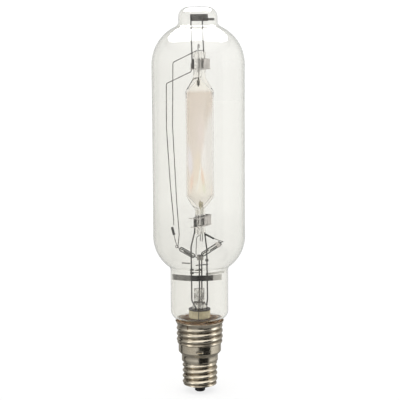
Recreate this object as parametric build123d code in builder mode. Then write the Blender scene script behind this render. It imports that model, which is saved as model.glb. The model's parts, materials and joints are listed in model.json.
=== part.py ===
import math
import os

from build123d import *

os.makedirs("parts", exist_ok=True)

# Clear tubular discharge lamp on a screw cap, in millimetres.
# Z runs up the lamp axis from the tip of the centre contact, and the front is towards -Y.

# Outer bulb
lamp_length = 430.0
bulb_radius = 51.1
bulb_wall = 1.4
dome_radius = 45.0
dome_drop = 62.4
dome_height = lamp_length - dome_drop
nipple_radius = 21.6
nipple_crown = 1.4
nipple_corner = 11.5
nipple_fillet = 6.0
shoulder_radius = 42.0
shoulder_height = 178.0
neck_radius = 32.2
neck_fillet = 7.0
neck_bottom = 94.0
neck_corner = 10.5
throat_radius = 23.2
throat_end = 62.0

# Screw cap
cap_sheet = 0.6
thread_pitch = 6.35
screw_crest = 19.7
screw_root = 17.75
screw_first = 11.55
screw_turns = 4
skirt_crest = 26.0
skirt_root = 24.5
skirt_first = 60.6
skirt_turns = 3
rim_radius = 27.2
rim_height = 82.0
band_radius = 23.85
band_bottom = 47.0
collar_radius = 20.3
collar_top = 43.0
slit_count = 4
slit_angle = -121.0
slit_width = 1.3
slit_bottom = 76.6
crimp_width = 7.5
crimp_height = 51.0
crimp_depth = 0.3
contact_radius = 5.8
contact_height = 3.6
rivet_radius = 2.6
cement_gap = 0.15

# Stem
stem_wall = 1.2
stem_tube = 8.0
flare_height = 81.0
press_bottom = 102.0
press_top = 118.0
press_width = 11.6
press_depth = 5.2
exhaust_radius = 2.0
exhaust_offset = 4.0
exhaust_drop = 16.0
ceramic_radius = 12.0
ceramic_bottom = 84.0
ceramic_top = 94.0
foot_overhang = 0.2
foot_sheet = 1.0

# Wires and the gap left at each weld
rod_diameter = 1.6
top_rod_diameter = 1.4
lead_diameter = 1.5
pin_diameter = 1.2
wire_diameter = 1.0
fine_diameter = 0.8
weld_gap = 0.05
seal_gap = 0.03

# Arc tube
arc_x = 1.4
arc_radius = 15.25
arc_wall = 1.5
arc_stand = 45.0
arc_headroom = 29.0
arc_bottom = shoulder_height + arc_stand
arc_top = dome_height - arc_headroom
cone_length = 15.6
pinch_length = 27.0
bead_centre = 5.5
bead_radius = 3.0
web_depth = 4.0
upper_turn = 45.0
lower_turn = 60.0
upper_pin_u = -2.0
probe_pin_u = 4.5
electrode_radius = 0.8
coil_radius = 1.7
coil_turns = 4
coil_pitch = 1.3
foil_thick = 0.2
foil_length = 15.0

# Clips at the pinches
clip_sheet = 0.5
clip_height = 11.5
clip_reach = 13.5
lower_clip_reach = 19.0
clip_jaw = 3.0
clip_lip = 3.4
upper_clip_rise = 7.8
lower_clip_drop = 19.4
upper_clip_bottom = arc_top + cone_length + upper_clip_rise
lower_clip_bottom = arc_bottom - cone_length - lower_clip_drop
tie_width = 0.9
tie_sheet = 0.35
tie_tail = 5.0

# Top ring
ring_x = 1.3
ring_radius = 9.65
ring_sheet = 0.5
ring_drop = 15.6
ring_bottom = lamp_length - ring_drop
ring_height = 7.5
tongue_height = 2.7

# Frame heights
front_spring_height = 132.0
front_spring_width = 6.4
back_spring_height = 135.6
back_spring_width = 3.8
spring_sheet = 0.4
spring_bow = 50.0
spring_left = 29.0
spring_right = 25.6
spring_offset = -1.0
back_spring_bend = 8.0
back_spring_reach = 10.6
back_spring_clearance = 2.4
left_rod_x = -9.0
left_rod_y = -9.7
right_rod_x = 8.4
tie_bar_height = 139.5
cross_bar_height = 144.8
lead_top = 154.0
lead_pitch = 2.7


def pinch_point(turn, u, v):
    """Place on the lamp of a point u along a pinch and v across it."""
    along = Vector(math.cos(math.radians(turn)), math.sin(math.radians(turn)))
    across = Vector(math.sin(math.radians(turn)), -math.cos(math.radians(turn)))
    spot = Vector(arc_x, 0) + along * u + across * v
    return spot.X, spot.Y


def pinch_plane(turn, height):
    """Level plane on the arc tube's axis, with its X along the pinch."""
    along = Vector(math.cos(math.radians(turn)), math.sin(math.radians(turn)), 0)
    return Plane(origin=(arc_x, 0, height), x_dir=along, z_dir=(0, 0, 1))


def bent_wire(points, diameter, bend):
    """Round wire along a path of straight runs and bends."""
    with BuildPart() as wire:
        with BuildLine() as path:
            if len(points) == 2:
                Line(*points)
            else:
                FilletPolyline(*points, radius=bend)
        with BuildSketch(Plane(origin=path.line @ 0, z_dir=path.line % 0)):
            Circle(diameter / 2)
        sweep()
    return wire.part


def save(part, name):
    part.label = name
    export_step(part, f"parts/{name}.step")


# Outer bulb: the same outline, drawn outside and then one wall further in
with BuildPart() as outer_bulb:
    for inset, mode in ((0, Mode.ADD), (bulb_wall, Mode.SUBTRACT)):
        dome = dome_radius - inset
        shoulder = shoulder_radius - inset
        corner = neck_corner - inset
        nipple = nipple_radius - inset
        body = bulb_radius - inset
        neck = neck_radius - inset
        throat = throat_radius - inset
        dome_x = body - dome
        shoulder_x = body - shoulder
        corner_x = neck - corner
        foot = dome_height + math.sqrt(dome**2 - (nipple - dome_x) ** 2)
        neck_top = shoulder_height - math.sqrt(shoulder**2 - (neck - shoulder_x) ** 2)
        throat_top = neck_bottom - math.sqrt(corner**2 - (throat - corner_x) ** 2)
        crown = lamp_length - inset
        with BuildSketch(Plane.XZ) as bulb_outline:
            with BuildLine():
                Line((0, throat_end), (0, crown))
                TangentArc((0, crown), (nipple, crown - nipple_crown), tangent=(1, 0))
                Line((nipple, crown - nipple_crown), (nipple, foot))
                RadiusArc((nipple, foot), (body, dome_height), dome)
                Line((body, dome_height), (body, shoulder_height))
                RadiusArc((body, shoulder_height), (neck, neck_top), shoulder)
                Line((neck, neck_top), (neck, neck_bottom))
                RadiusArc((neck, neck_bottom), (throat, throat_top), corner)
                Line((throat, throat_top), (throat, throat_end))
                Line((throat, throat_end), (0, throat_end))
            make_face()
            crown_corner = bulb_outline.vertices().sort_by_distance((nipple, crown - nipple_crown))[0]
            fillet(crown_corner, nipple_corner - inset)
            nipple_corner_in = bulb_outline.vertices().sort_by_distance((nipple, foot))[0]
            fillet(nipple_corner_in, nipple_fillet + inset)
            neck_corner_in = bulb_outline.vertices().sort_by_distance((neck, neck_top))[0]
            fillet(neck_corner_in, neck_fillet + inset)
        revolve(axis=Axis.Z, mode=mode)
save(outer_bulb.part, "outer_bulb")

# Cap shell: rolled sheet with a skirt thread, a plain band and the screw thread below it
quarter = thread_pitch / 4
skirt_middle = (skirt_crest + skirt_root) / 2
screw_middle = (screw_crest + screw_root) / 2
skirt_bore = skirt_root - cap_sheet
screw_bore = screw_root - cap_sheet
skirt_top = skirt_first + skirt_turns * thread_pitch - quarter
screw_top = screw_first + screw_turns * thread_pitch - quarter
shell_end = screw_first - 3.2
lip_radius = screw_root - 1.4
with BuildPart() as cap_shell:
    with BuildSketch(Plane.XZ):
        with BuildLine():
            Polyline(
                (skirt_middle, skirt_top),
                (skirt_middle, skirt_top + 0.6),
                (rim_radius, rim_height - 0.5),
                (rim_radius - 0.3, rim_height),
                (rim_radius - cap_sheet - 0.3, rim_height),
                (skirt_bore, skirt_top - 0.4),
                (skirt_bore, skirt_first - quarter),
                (band_radius - cap_sheet, skirt_first - quarter - 1),
                (band_radius - cap_sheet, band_bottom + 0.3),
                (collar_radius - cap_sheet, collar_top + 0.3),
                (collar_radius - cap_sheet, screw_top + 0.5),
                (screw_bore, screw_top - 1),
                (screw_bore, shell_end + 1.6),
                (lip_radius, shell_end),
                (lip_radius + cap_sheet, shell_end - 0.4),
                (screw_middle, screw_first - quarter),
            )
            for turn in range(screw_turns):
                crest = screw_first + turn * thread_pitch
                ThreePointArc(
                    (screw_middle, crest - quarter),
                    (screw_crest, crest),
                    (screw_middle, crest + quarter),
                )
                if turn < screw_turns - 1:
                    ThreePointArc(
                        (screw_middle, crest + quarter),
                        (screw_root, crest + 2 * quarter),
                        (screw_middle, crest + 3 * quarter),
                    )
            Polyline(
                (screw_middle, screw_top - 2 * quarter),
                (screw_root + 0.6, screw_top - quarter),
                (collar_radius, screw_top + 0.6),
                (collar_radius, collar_top),
                (band_radius, band_bottom),
                (band_radius, skirt_first - 2 * quarter),
                (skirt_middle, skirt_first - quarter),
            )
            for turn in range(skirt_turns):
                crest = skirt_first + turn * thread_pitch
                ThreePointArc(
                    (skirt_middle, crest - quarter),
                    (skirt_crest, crest),
                    (skirt_middle, crest + quarter),
                )
                ThreePointArc(
                    (skirt_middle, crest + quarter),
                    (skirt_root, crest + 2 * quarter),
                    (skirt_middle, crest + 3 * quarter),
                )
        make_face()
    revolve(axis=Axis.Z)
    for slit in range(slit_count):
        angle = slit_angle + slit * 360 / slit_count
        facing = Vector(math.cos(math.radians(angle)), math.sin(math.radians(angle)), 0)
        with BuildSketch(Plane(origin=(0, 0, slit_bottom + 1.5), x_dir=(0, 0, 1), z_dir=facing)):
            SlotOverall(4.2, slit_width)
        extrude(amount=rim_radius + 1, mode=Mode.SUBTRACT)
    with BuildSketch(Plane.XZ.offset(band_radius - crimp_depth)):
        with Locations((0, crimp_height)):
            SlotOverall(crimp_width, 2.4)
    extrude(amount=1, mode=Mode.SUBTRACT)
save(cap_shell.part, "cap_shell")

# Glass insulator: black plug in the end of the shell, drawn to a cone around the contact
plug_radius = screw_bore - cement_gap
plug_top = screw_first + 2 * thread_pitch
with BuildPart() as cap_insulator:
    with BuildSketch(Plane.XZ):
        with BuildLine():
            Polyline(
                (rivet_radius + weld_gap, contact_height),
                (contact_radius + 0.6, contact_height),
                (lip_radius - 0.8, shell_end - 0.7),
                (lip_radius - 0.2, shell_end + 0.4),
                (plug_radius, shell_end + 1.9),
                (plug_radius, plug_top),
                (rivet_radius + weld_gap, plug_top),
                close=True,
            )
        make_face()
    revolve(axis=Axis.Z)
save(cap_insulator.part, "cap_insulator")

# Centre contact: a headed eyelet whose shank takes the lead
with BuildPart() as centre_contact:
    with BuildSketch():
        Circle(contact_radius)
    extrude(amount=contact_height)
    chamfer(centre_contact.edges().group_by(Axis.Z)[0], 0.9)
    with BuildSketch(Plane.XY.offset(contact_height)):
        Circle(rivet_radius)
    extrude(amount=plug_top + 1 - contact_height)
    with BuildSketch(Plane.XY.offset(plug_top + 1)):
        Circle(lead_diameter / 2 + weld_gap)
    extrude(amount=-4, mode=Mode.SUBTRACT)
save(centre_contact.part, "centre_contact")

# Basing cement: brown ring between the glass throat and the skirt
with BuildPart() as basing_cement:
    with BuildSketch(Plane.XZ):
        with BuildLine():
            Polyline(
                (throat_radius + cement_gap, throat_end),
                (skirt_bore - cement_gap, throat_end),
                (skirt_bore - cement_gap, skirt_top - 0.6),
                (rim_radius - cap_sheet - 1.4, rim_height - 1.4),
                (throat_radius + cement_gap, rim_height - 1.4),
                close=True,
            )
        make_face()
    revolve(axis=Axis.Z)
save(basing_cement.part, "basing_cement")

# Stem: flare, tube and flat press in one piece of glass
press_centre = lead_pitch / 2 - 1.6
tube_top = press_bottom - 4
seal_height = throat_end - bulb_wall
with BuildPart() as stem:
    with BuildSketch(Plane.XZ):
        with BuildLine():
            Polyline(
                (0, tube_top),
                (stem_tube, tube_top),
                (stem_tube, flare_height),
                (throat_radius - 2.6, throat_end),
                (throat_radius, throat_end),
                (throat_radius, seal_height),
                (throat_radius - 2 - stem_wall, seal_height),
                (stem_tube - stem_wall, flare_height - 0.4),
                (stem_tube - stem_wall, tube_top - stem_wall),
                (0, tube_top - stem_wall),
                close=True,
            )
        make_face()
    revolve(axis=Axis.Z)
    with BuildSketch(Plane.XY.offset(tube_top)):
        Circle(stem_tube)
    with BuildSketch(Plane.XY.offset(press_bottom + 2)):
        with Locations((press_centre, 0)):
            Ellipse(press_width / 2, press_depth / 2)
    loft()
    with BuildSketch(Plane.XY.offset(press_bottom)):
        with Locations((press_centre, 0)):
            RectangleRounded(press_width, press_depth, 1.6)
    extrude(amount=press_top - press_bottom)
    with BuildSketch(Plane.XY.offset(throat_end)):
        with Locations((0, 0), (lead_pitch, 0)):
            Circle(lead_diameter / 2 + seal_gap)
    extrude(amount=press_top - throat_end + 1, mode=Mode.SUBTRACT)
save(stem.part, "stem")

# Exhaust tube: hangs from the roof of the stem and is tipped off below
exhaust_bottom = throat_end - exhaust_drop
with BuildPart() as exhaust_tube:
    with BuildSketch(Plane.XY.offset(exhaust_bottom)):
        with Locations((0, exhaust_offset)):
            Circle(exhaust_radius)
    extrude(amount=tube_top - stem_wall - exhaust_bottom)
    fillet(exhaust_tube.edges().group_by(Axis.Z)[0], exhaust_radius * 0.8)
    with BuildSketch(Plane.XY.offset(exhaust_bottom + 3)):
        with Locations((0, exhaust_offset)):
            Circle(exhaust_radius - 0.7)
    extrude(until=Until.LAST, mode=Mode.SUBTRACT)
save(exhaust_tube.part, "exhaust_tube")

# Ceramic collar around the stem, with the plate that carries the feet of the rods
with BuildPart() as stem_collar:
    with BuildSketch(Plane.XZ):
        with BuildLine():
            Polyline(
                (stem_tube + 0.3, ceramic_bottom),
                (ceramic_radius - 0.8, ceramic_bottom),
                (ceramic_radius, ceramic_bottom + 0.8),
                (ceramic_radius, ceramic_top),
                (stem_tube + 0.3, ceramic_top),
                close=True,
            )
        make_face()
    revolve(axis=Axis.Z)
save(stem_collar.part, "stem_collar")

foot_height = ceramic_top + weld_gap
with BuildPart() as foot_plate:
    with BuildSketch(Plane.XY.offset(foot_height)):
        Circle(ceramic_radius + foot_overhang)
        Circle(stem_tube + 0.3, mode=Mode.SUBTRACT)
    extrude(amount=foot_sheet)
save(foot_plate.part, "foot_plate")

# Leads through the stem: one to the contact, one to the shell, and the wire down the front of the collar
contact_lead = bent_wire([(0, 0, lead_top), (0, 0, plug_top - 2)], lead_diameter, 3)
save(contact_lead, "contact_lead")

shell_lead_points = [
    (lead_pitch, 0, lead_top),
    (lead_pitch, 0, throat_end + 4),
    (collar_radius - 1.7, -3, collar_top - 3),
]
shell_lead = bent_wire(shell_lead_points, lead_diameter, 5)
save(shell_lead, "shell_lead")

side_wire_y = -(ceramic_radius + 1.2)
side_wire_points = [
    (0, -(lead_diameter + fine_diameter) / 2 - weld_gap, press_top + 7),
    (-0.2, -(press_depth / 2 + 1.4), press_top),
    (-0.8, side_wire_y, ceramic_top + 2),
    (-1.4, side_wire_y - 0.3, flare_height - 5),
]
side_wire = bent_wire(side_wire_points, fine_diameter, 4)
save(side_wire, "side_wire")

# Arc tube: quartz cylinder drawn down to a flat pinch with beaded edges at each end
upper_pinch = arc_top + cone_length
lower_pinch = arc_bottom - cone_length
bead_reach = bead_centre + bead_radius
foil_margin = (pinch_length - foil_length) / 2 - 1
upper_foil_bottom = upper_pinch + foil_margin
upper_foil_top = upper_foil_bottom + foil_length
lower_foil_top = lower_pinch - foil_margin
lower_foil_bottom = lower_foil_top - foil_length
upper_foil_width = 4.0
lower_foil_width = 3.0
probe_foil_width = 2.2
bore = arc_radius - arc_wall
with BuildPart() as arc_tube:
    with BuildSketch(pinch_plane(0, arc_bottom)):
        Circle(arc_radius)
    extrude(amount=arc_top - arc_bottom)
    with BuildSketch(pinch_plane(upper_turn, arc_top)):
        Circle(arc_radius)
    with BuildSketch(pinch_plane(upper_turn, upper_pinch)):
        Ellipse(bead_reach, bead_radius + 0.4)
    loft()
    with BuildSketch(pinch_plane(lower_turn, lower_pinch)):
        Ellipse(bead_reach, bead_radius + 0.4)
    with BuildSketch(pinch_plane(lower_turn, arc_bottom - cone_length / 3)):
        Ellipse(arc_radius - 1.5, arc_radius - 2.6)
    with BuildSketch(pinch_plane(lower_turn, arc_bottom)):
        Circle(arc_radius)
    loft()
    for turn, start, rise in ((upper_turn, upper_pinch, 1), (lower_turn, lower_pinch, -1)):
        with BuildSketch(pinch_plane(turn, start - 2 * rise)):
            Rectangle(2 * bead_centre, web_depth)
            with Locations((bead_centre, 0), (-bead_centre, 0)):
                Circle(bead_radius)
        extrude(amount=rise * (pinch_length + 2))
    with BuildSketch(Plane.XZ):
        with BuildLine():
            Polyline(
                (arc_x, lower_pinch + 3),
                (arc_x + 3, lower_pinch + 3),
                (arc_x + bore, arc_bottom + 0.8),
                (arc_x + bore, arc_top - 0.8),
                (arc_x + 3, upper_pinch - 3),
                (arc_x, upper_pinch - 3),
                close=True,
            )
        make_face()
    revolve(axis=Axis((arc_x, 0, 0), (0, 0, 1)), mode=Mode.SUBTRACT)
    for turn, u, width, bottom, top, inner_end in (
        (upper_turn, upper_pin_u, upper_foil_width, upper_foil_bottom, upper_foil_top, arc_top),
        (lower_turn, 0, lower_foil_width, lower_foil_bottom, lower_foil_top, arc_bottom),
        (lower_turn, probe_pin_u, probe_foil_width, lower_foil_bottom, lower_foil_top, arc_bottom),
    ):
        with BuildSketch(pinch_plane(turn, bottom - seal_gap)):
            with Locations((u, 0)):
                Rectangle(width + 2 * seal_gap, foil_thick + 2 * seal_gap)
        extrude(amount=top - bottom + 2 * seal_gap, mode=Mode.SUBTRACT)
        near_end = bottom if turn == upper_turn else top
        far_end = top if turn == upper_turn else bottom
        with BuildSketch(pinch_plane(turn, near_end)):
            with Locations((u, 0)):
                Circle(electrode_radius + seal_gap)
        extrude(amount=inner_end - near_end, mode=Mode.SUBTRACT)
        with BuildSketch(pinch_plane(turn, far_end)):
            with Locations((u, 0)):
                Circle(pin_diameter / 2 + seal_gap)
        extrude(amount=(1 if turn == upper_turn else -1) * pinch_length, mode=Mode.SUBTRACT)
save(arc_tube.part, "arc_tube")


def electrode(turn, u, foil_end, tip, coiled):
    """Rod from the end of a foil to its tip, with a coil near the tip on a main electrode."""
    rise = 1 if tip > foil_end else -1
    with BuildPart() as rod:
        with BuildSketch(pinch_plane(turn, foil_end + rise * weld_gap)):
            with Locations((u, 0)):
                Circle(electrode_radius)
        extrude(amount=tip - foil_end - rise * weld_gap)
        if coiled:
            for loop in range(coil_turns):
                height = tip - rise * (1.9 + loop * coil_pitch)
                with Locations((*pinch_point(turn, u, 0), height)):
                    Torus(coil_radius - 0.7, 0.7)
    return rod.part


def foil(turn, u, width, bottom):
    """Thin metal strip sealed in a pinch."""
    with BuildPart() as strip:
        with BuildSketch(pinch_plane(turn, bottom)):
            with Locations((u, 0)):
                Rectangle(width, foil_thick)
        extrude(amount=foil_length)
    return strip.part


upper_electrode = electrode(upper_turn, upper_pin_u, upper_foil_bottom, arc_top + 5, True)
save(upper_electrode, "upper_electrode")
lower_electrode = electrode(lower_turn, 0, lower_foil_top, arc_bottom - 6, True)
save(lower_electrode, "lower_electrode")
starting_probe = electrode(lower_turn, probe_pin_u, lower_foil_top, arc_bottom - 8, False)
save(starting_probe, "starting_probe")
upper_foil = foil(upper_turn, upper_pin_u, upper_foil_width, upper_foil_bottom)
save(upper_foil, "upper_foil")
lower_foil = foil(lower_turn, 0, lower_foil_width, lower_foil_bottom)
save(lower_foil, "lower_foil")
probe_foil = foil(lower_turn, probe_pin_u, probe_foil_width, lower_foil_bottom)
save(probe_foil, "probe_foil")

# Lead pins: the upper one ends in a hairpin, the lower two are plain
hairpin_top = upper_pinch + pinch_length + 8
upper_pin_points = [
    (*pinch_point(upper_turn, upper_pin_u, 0), upper_foil_top + weld_gap),
    (*pinch_point(upper_turn, upper_pin_u, 0), hairpin_top),
    (*pinch_point(upper_turn, upper_pin_u + 1.8, 0), hairpin_top),
    (*pinch_point(upper_turn, upper_pin_u + 1.8, 0), hairpin_top - 4),
]
upper_pin = bent_wire(upper_pin_points, pin_diameter, 0.85)
save(upper_pin, "upper_pin")
pin_bottom = lower_pinch - pinch_length - 8.5
lower_pin_points = [
    (*pinch_point(lower_turn, 0, 0), lower_foil_bottom - weld_gap),
    (*pinch_point(lower_turn, 0, 0), pin_bottom),
]
lower_pin = bent_wire(lower_pin_points, pin_diameter, 1)
save(lower_pin, "lower_pin")
probe_pin_points = [
    (*pinch_point(lower_turn, probe_pin_u, 0), lower_foil_bottom - weld_gap),
    (*pinch_point(lower_turn, probe_pin_u, 0), pin_bottom - 1),
]
probe_pin = bent_wire(probe_pin_points, pin_diameter, 1)
save(probe_pin, "probe_pin")

# Clips: a short hook on the near edge of each pinch and a folded plate on the far edge
jaw = bead_radius + weld_gap
hook = bead_reach + weld_gap
clip_spots = (
    ("upper", upper_turn, upper_clip_bottom, clip_reach),
    ("lower", lower_turn, lower_clip_bottom, lower_clip_reach),
)
for end, turn, bottom, reach in clip_spots:
    with BuildPart() as near_clip:
        with BuildSketch(pinch_plane(turn, bottom)) as hooked:
            with BuildLine():
                Polyline(
                    (clip_lip - hook, jaw),
                    (-hook, jaw),
                    (-hook, -0.5),
                    (-hook - clip_sheet, -0.5),
                    (-hook - clip_sheet, jaw + clip_sheet),
                    (clip_lip - hook, jaw + clip_sheet),
                    close=True,
                )
            make_face()
            bend_outside = hooked.vertices().sort_by_distance((-hook - clip_sheet, jaw + clip_sheet))[0]
            fillet(bend_outside, clip_sheet)
        extrude(amount=clip_height)
    save(near_clip.part, f"{end}_near_clip")
    with BuildPart() as far_clip:
        with BuildSketch(pinch_plane(turn, bottom)) as folded:
            with Locations(((clip_jaw + reach) / 2, 0)):
                Rectangle(reach - clip_jaw, 2 * (jaw + clip_sheet))
            fillet(folded.vertices().group_by(Axis.X)[-1], 1.4)
            with Locations(((clip_jaw + reach) / 2 - clip_sheet, 0)):
                Rectangle(reach - clip_jaw, 2 * jaw, mode=Mode.SUBTRACT)
        extrude(amount=clip_height)
    save(far_clip.part, f"{end}_far_clip")

# Ties: thin bands that bind the two clips and the rods to each pinch
near_rod_u = -hook - clip_sheet - weld_gap - rod_diameter / 2
near_rod_v = -1.5
tie_near = near_rod_u - rod_diameter / 2 - weld_gap
tie_half = jaw + clip_sheet + weld_gap


def tie_band(turn, height, reach, tail):
    """Closed band around the clips of one pinch, with its loose end left standing out to the left."""
    tie_far = reach + weld_gap
    corner_x, corner_y = pinch_point(turn, tie_near, -tie_half)
    with BuildPart() as band:
        with BuildSketch(pinch_plane(turn, height)):
            with Locations(((tie_near + tie_far) / 2, 0)):
                RectangleRounded(tie_far - tie_near + 2 * tie_sheet, 2 * (tie_half + tie_sheet), 1)
                Rectangle(tie_far - tie_near, 2 * tie_half, mode=Mode.SUBTRACT)
        if tail > 0:
            with BuildSketch(Plane.XY.offset(height)):
                with Locations((corner_x + 0.7 - tail / 2, corner_y)):
                    Rectangle(tail, tie_sheet)
        extrude(amount=tie_width)
    return band.part


upper_tie = tie_band(upper_turn, upper_clip_bottom + 0.4, clip_reach, 0)
save(upper_tie, "upper_tie")
with BuildPart() as lower_ties:
    add(tie_band(lower_turn, lower_clip_bottom + 0.4, lower_clip_reach, tie_tail - 2))
    add(tie_band(lower_turn, lower_clip_bottom + clip_height - 0.4 - tie_width, lower_clip_reach, tie_tail))
save(lower_ties.part, "lower_ties")

# Top ring with its tongue, which steadies the frame in the nipple
with BuildPart() as top_ring:
    with BuildSketch(Plane.XY.offset(ring_bottom)):
        with Locations((ring_x, 0)):
            Circle(ring_radius)
            Circle(ring_radius - ring_sheet, mode=Mode.SUBTRACT)
    extrude(amount=ring_height)
    tongue_y = -ring_radius + ring_sheet / 2
    tongue_end = math.sqrt((nipple_radius - bulb_wall - 0.4) ** 2 - ring_radius**2)
    with BuildSketch(Plane.XY.offset(ring_bottom + 0.6)):
        with Locations(((ring_x + tongue_end) / 2, tongue_y)):
            Rectangle(tongue_end - ring_x, ring_sheet)
    extrude(amount=tongue_height)
save(top_ring.part, "top_ring")

# Top rods, from the upper clips to the outside of the ring
ring_reach = ring_radius + weld_gap + top_rod_diameter / 2
left_ring_spot = (
    ring_x + ring_reach * math.cos(math.radians(213)),
    ring_reach * math.sin(math.radians(213)),
)
right_ring_spot = (
    ring_x + ring_reach * math.cos(math.radians(69)),
    ring_reach * math.sin(math.radians(69)),
)
top_near_u = -hook - clip_sheet - weld_gap - top_rod_diameter / 2
top_near_spot = pinch_point(upper_turn, top_near_u, near_rod_v)
top_far_spot = pinch_point(
    upper_turn,
    bead_reach + weld_gap + top_rod_diameter / 2,
    -jaw + weld_gap + top_rod_diameter / 2,
)
top_rod_bend = upper_clip_bottom + clip_height + 2
ring_middle = ring_bottom + ring_height - 1
top_rods = (
    ("left_top_rod", top_near_spot, left_ring_spot),
    ("right_top_rod", top_far_spot, right_ring_spot),
)
for name, clip_spot, ring_spot in top_rods:
    top_rod_points = [
        (*clip_spot, upper_clip_bottom),
        (*clip_spot, top_rod_bend),
        (*ring_spot, ring_bottom - 4),
        (*ring_spot, ring_middle),
    ]
    save(bent_wire(top_rod_points, top_rod_diameter, 6), name)

# Support rods, from the foot plate to the lower clips
cross_bar_y = -(lead_diameter + pin_diameter) / 2 - weld_gap
right_rod_y = cross_bar_y + (pin_diameter + rod_diameter) / 2 + weld_gap
foot_top = foot_height + foot_sheet
foot_circle = (stem_tube + 0.3 + ceramic_radius - 1.6) / 2
left_foot = (-4.0, -math.sqrt(foot_circle**2 - 4.0**2))
right_foot = (8.0, math.sqrt(foot_circle**2 - 8.0**2))
clip_top = lower_clip_bottom + clip_height
left_rod_points = [
    (*left_foot, foot_top),
    (*left_foot, foot_top + 2.4),
    (left_rod_x + 0.5, left_rod_y, ceramic_top + 12.5),
    (left_rod_x, left_rod_y, lower_clip_bottom - 21.0),
    (*pinch_point(lower_turn, near_rod_u, near_rod_v), lower_clip_bottom - 4),
    (*pinch_point(lower_turn, near_rod_u, near_rod_v), clip_top),
]
left_rod = bent_wire(left_rod_points, rod_diameter, 6)
save(left_rod, "left_rod")
far_rod_u = clip_reach - clip_sheet - weld_gap - rod_diameter / 2
far_rod_v = -jaw + weld_gap + rod_diameter / 2
right_rod_points = [
    (*right_foot, foot_top),
    (*right_foot, foot_top + 2.4),
    (right_rod_x + 0.6, right_rod_y, ceramic_top + 12.5),
    (right_rod_x, right_rod_y, lower_clip_bottom - 25.0),
    (*pinch_point(lower_turn, far_rod_u, far_rod_v), lower_clip_bottom - 3),
    (*pinch_point(lower_turn, far_rod_u, far_rod_v), clip_top),
]
right_rod = bent_wire(right_rod_points, rod_diameter, 6)
save(right_rod, "right_rod")

# Neck springs: a bowed strip across the front of the left rod and a short one behind the right rod
bow_x = spring_offset
bow_inside = spring_bow - spring_sheet / 2 - weld_gap - rod_diameter / 2
bow_y = left_rod_y + math.sqrt(bow_inside**2 - (left_rod_x - bow_x) ** 2)
bow_left = math.degrees(math.asin(spring_left / spring_bow))
bow_right = math.degrees(math.asin(spring_right / spring_bow))
with BuildPart() as front_spring:
    with BuildSketch(Plane.XY.offset(front_spring_height - front_spring_width / 2)):
        with BuildLine():
            CenterArc((bow_x, bow_y), spring_bow, 270 - bow_left, bow_left + bow_right)
        trace(line_width=spring_sheet)
    extrude(amount=front_spring_width)
save(front_spring.part, "front_spring")

back_spring_y = right_rod_y + rod_diameter / 2 + weld_gap + spring_sheet / 2
with BuildPart() as back_spring:
    with BuildSketch(Plane.XY.offset(back_spring_height - back_spring_width / 2)):
        with BuildLine():
            FilletPolyline(
                (right_rod_x - 1.2, back_spring_y),
                (right_rod_x + 3, back_spring_y),
                (neck_radius - bulb_wall - back_spring_clearance, back_spring_reach),
                radius=back_spring_bend,
            )
        trace(line_width=spring_sheet)
    extrude(amount=back_spring_width)
save(back_spring.part, "back_spring")

# Weld block on the left rod, with the tie bar from it and the cross bar from the right rod to the leads
block_length = 3.8
with BuildPart() as weld_block:
    with BuildSketch(Plane.XY.offset(tie_bar_height - 2.3)):
        with Locations((left_rod_x + 0.8, left_rod_y)):
            Rectangle(block_length, 3)
        with Locations((left_rod_x + 0.25, left_rod_y)):
            Circle(rod_diameter / 2 + 0.25, mode=Mode.SUBTRACT)
    extrude(amount=4.6)
save(weld_block.part, "weld_block")

block_face = left_rod_x + 0.8 + block_length / 2
tie_bar_points = [
    (block_face + 0.6, left_rod_y + 0.7, tie_bar_height),
    (lead_pitch - 0.4, -(lead_diameter / 2 + 1.1), tie_bar_height),
]
tie_bar = bent_wire(tie_bar_points, rod_diameter, 1)
save(tie_bar, "tie_bar")

cross_bar_points = [
    (-3.9, cross_bar_y, cross_bar_height - 0.6),
    (right_rod_x + 1.4, cross_bar_y, cross_bar_height + 0.6),
]
cross_bar = bent_wire(cross_bar_points, pin_diameter, 1)
save(cross_bar, "cross_bar")

with BuildPart() as rod_collar:
    with BuildSketch(Plane.XY.offset(cross_bar_height + 4)):
        with Locations((right_rod_x + 0.1, right_rod_y)):
            Circle(rod_diameter / 2 + 1)
            Circle(rod_diameter / 2 + 0.25, mode=Mode.SUBTRACT)
    extrude(amount=2.4)
save(rod_collar.part, "rod_collar")

getter_end = (-19.5, -7.6)
getter_start = (left_rod_x - rod_diameter / 2 - 0.3, left_rod_y)
with BuildPart() as getter_strip:
    with BuildSketch(Plane.XY.offset(cross_bar_height + 3)):
        with BuildLine():
            Line(getter_start, getter_end)
        trace(line_width=0.3)
    extrude(amount=1.3)
save(getter_strip.part, "getter_strip")

# Starter: a bottle and a thermal switch capsule, both clear glass with metal inside
switch_start = (-21.9, -2.2, lead_top + 10.0)
switch_end = (-4.9, -2.2, lead_top + 0.4)
switch_radius = 2.75
bottle_start = (2.6, -3.9, lead_top + 2.4)
bottle_end = (24.3, -3.9, lead_top + 16.6)
bottle_radius = 2.8
glass_wall = 0.6
tail_length = 3.0
tail_radius = 0.4
blade_sheet = 1.0
ferrule_length = 4.0


def tube_point(start, end, distance):
    """Point on a capsule's axis, measured from its start."""
    axis = (Vector(*end) - Vector(*start)).normalized()
    return Vector(*start) + axis * distance


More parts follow.
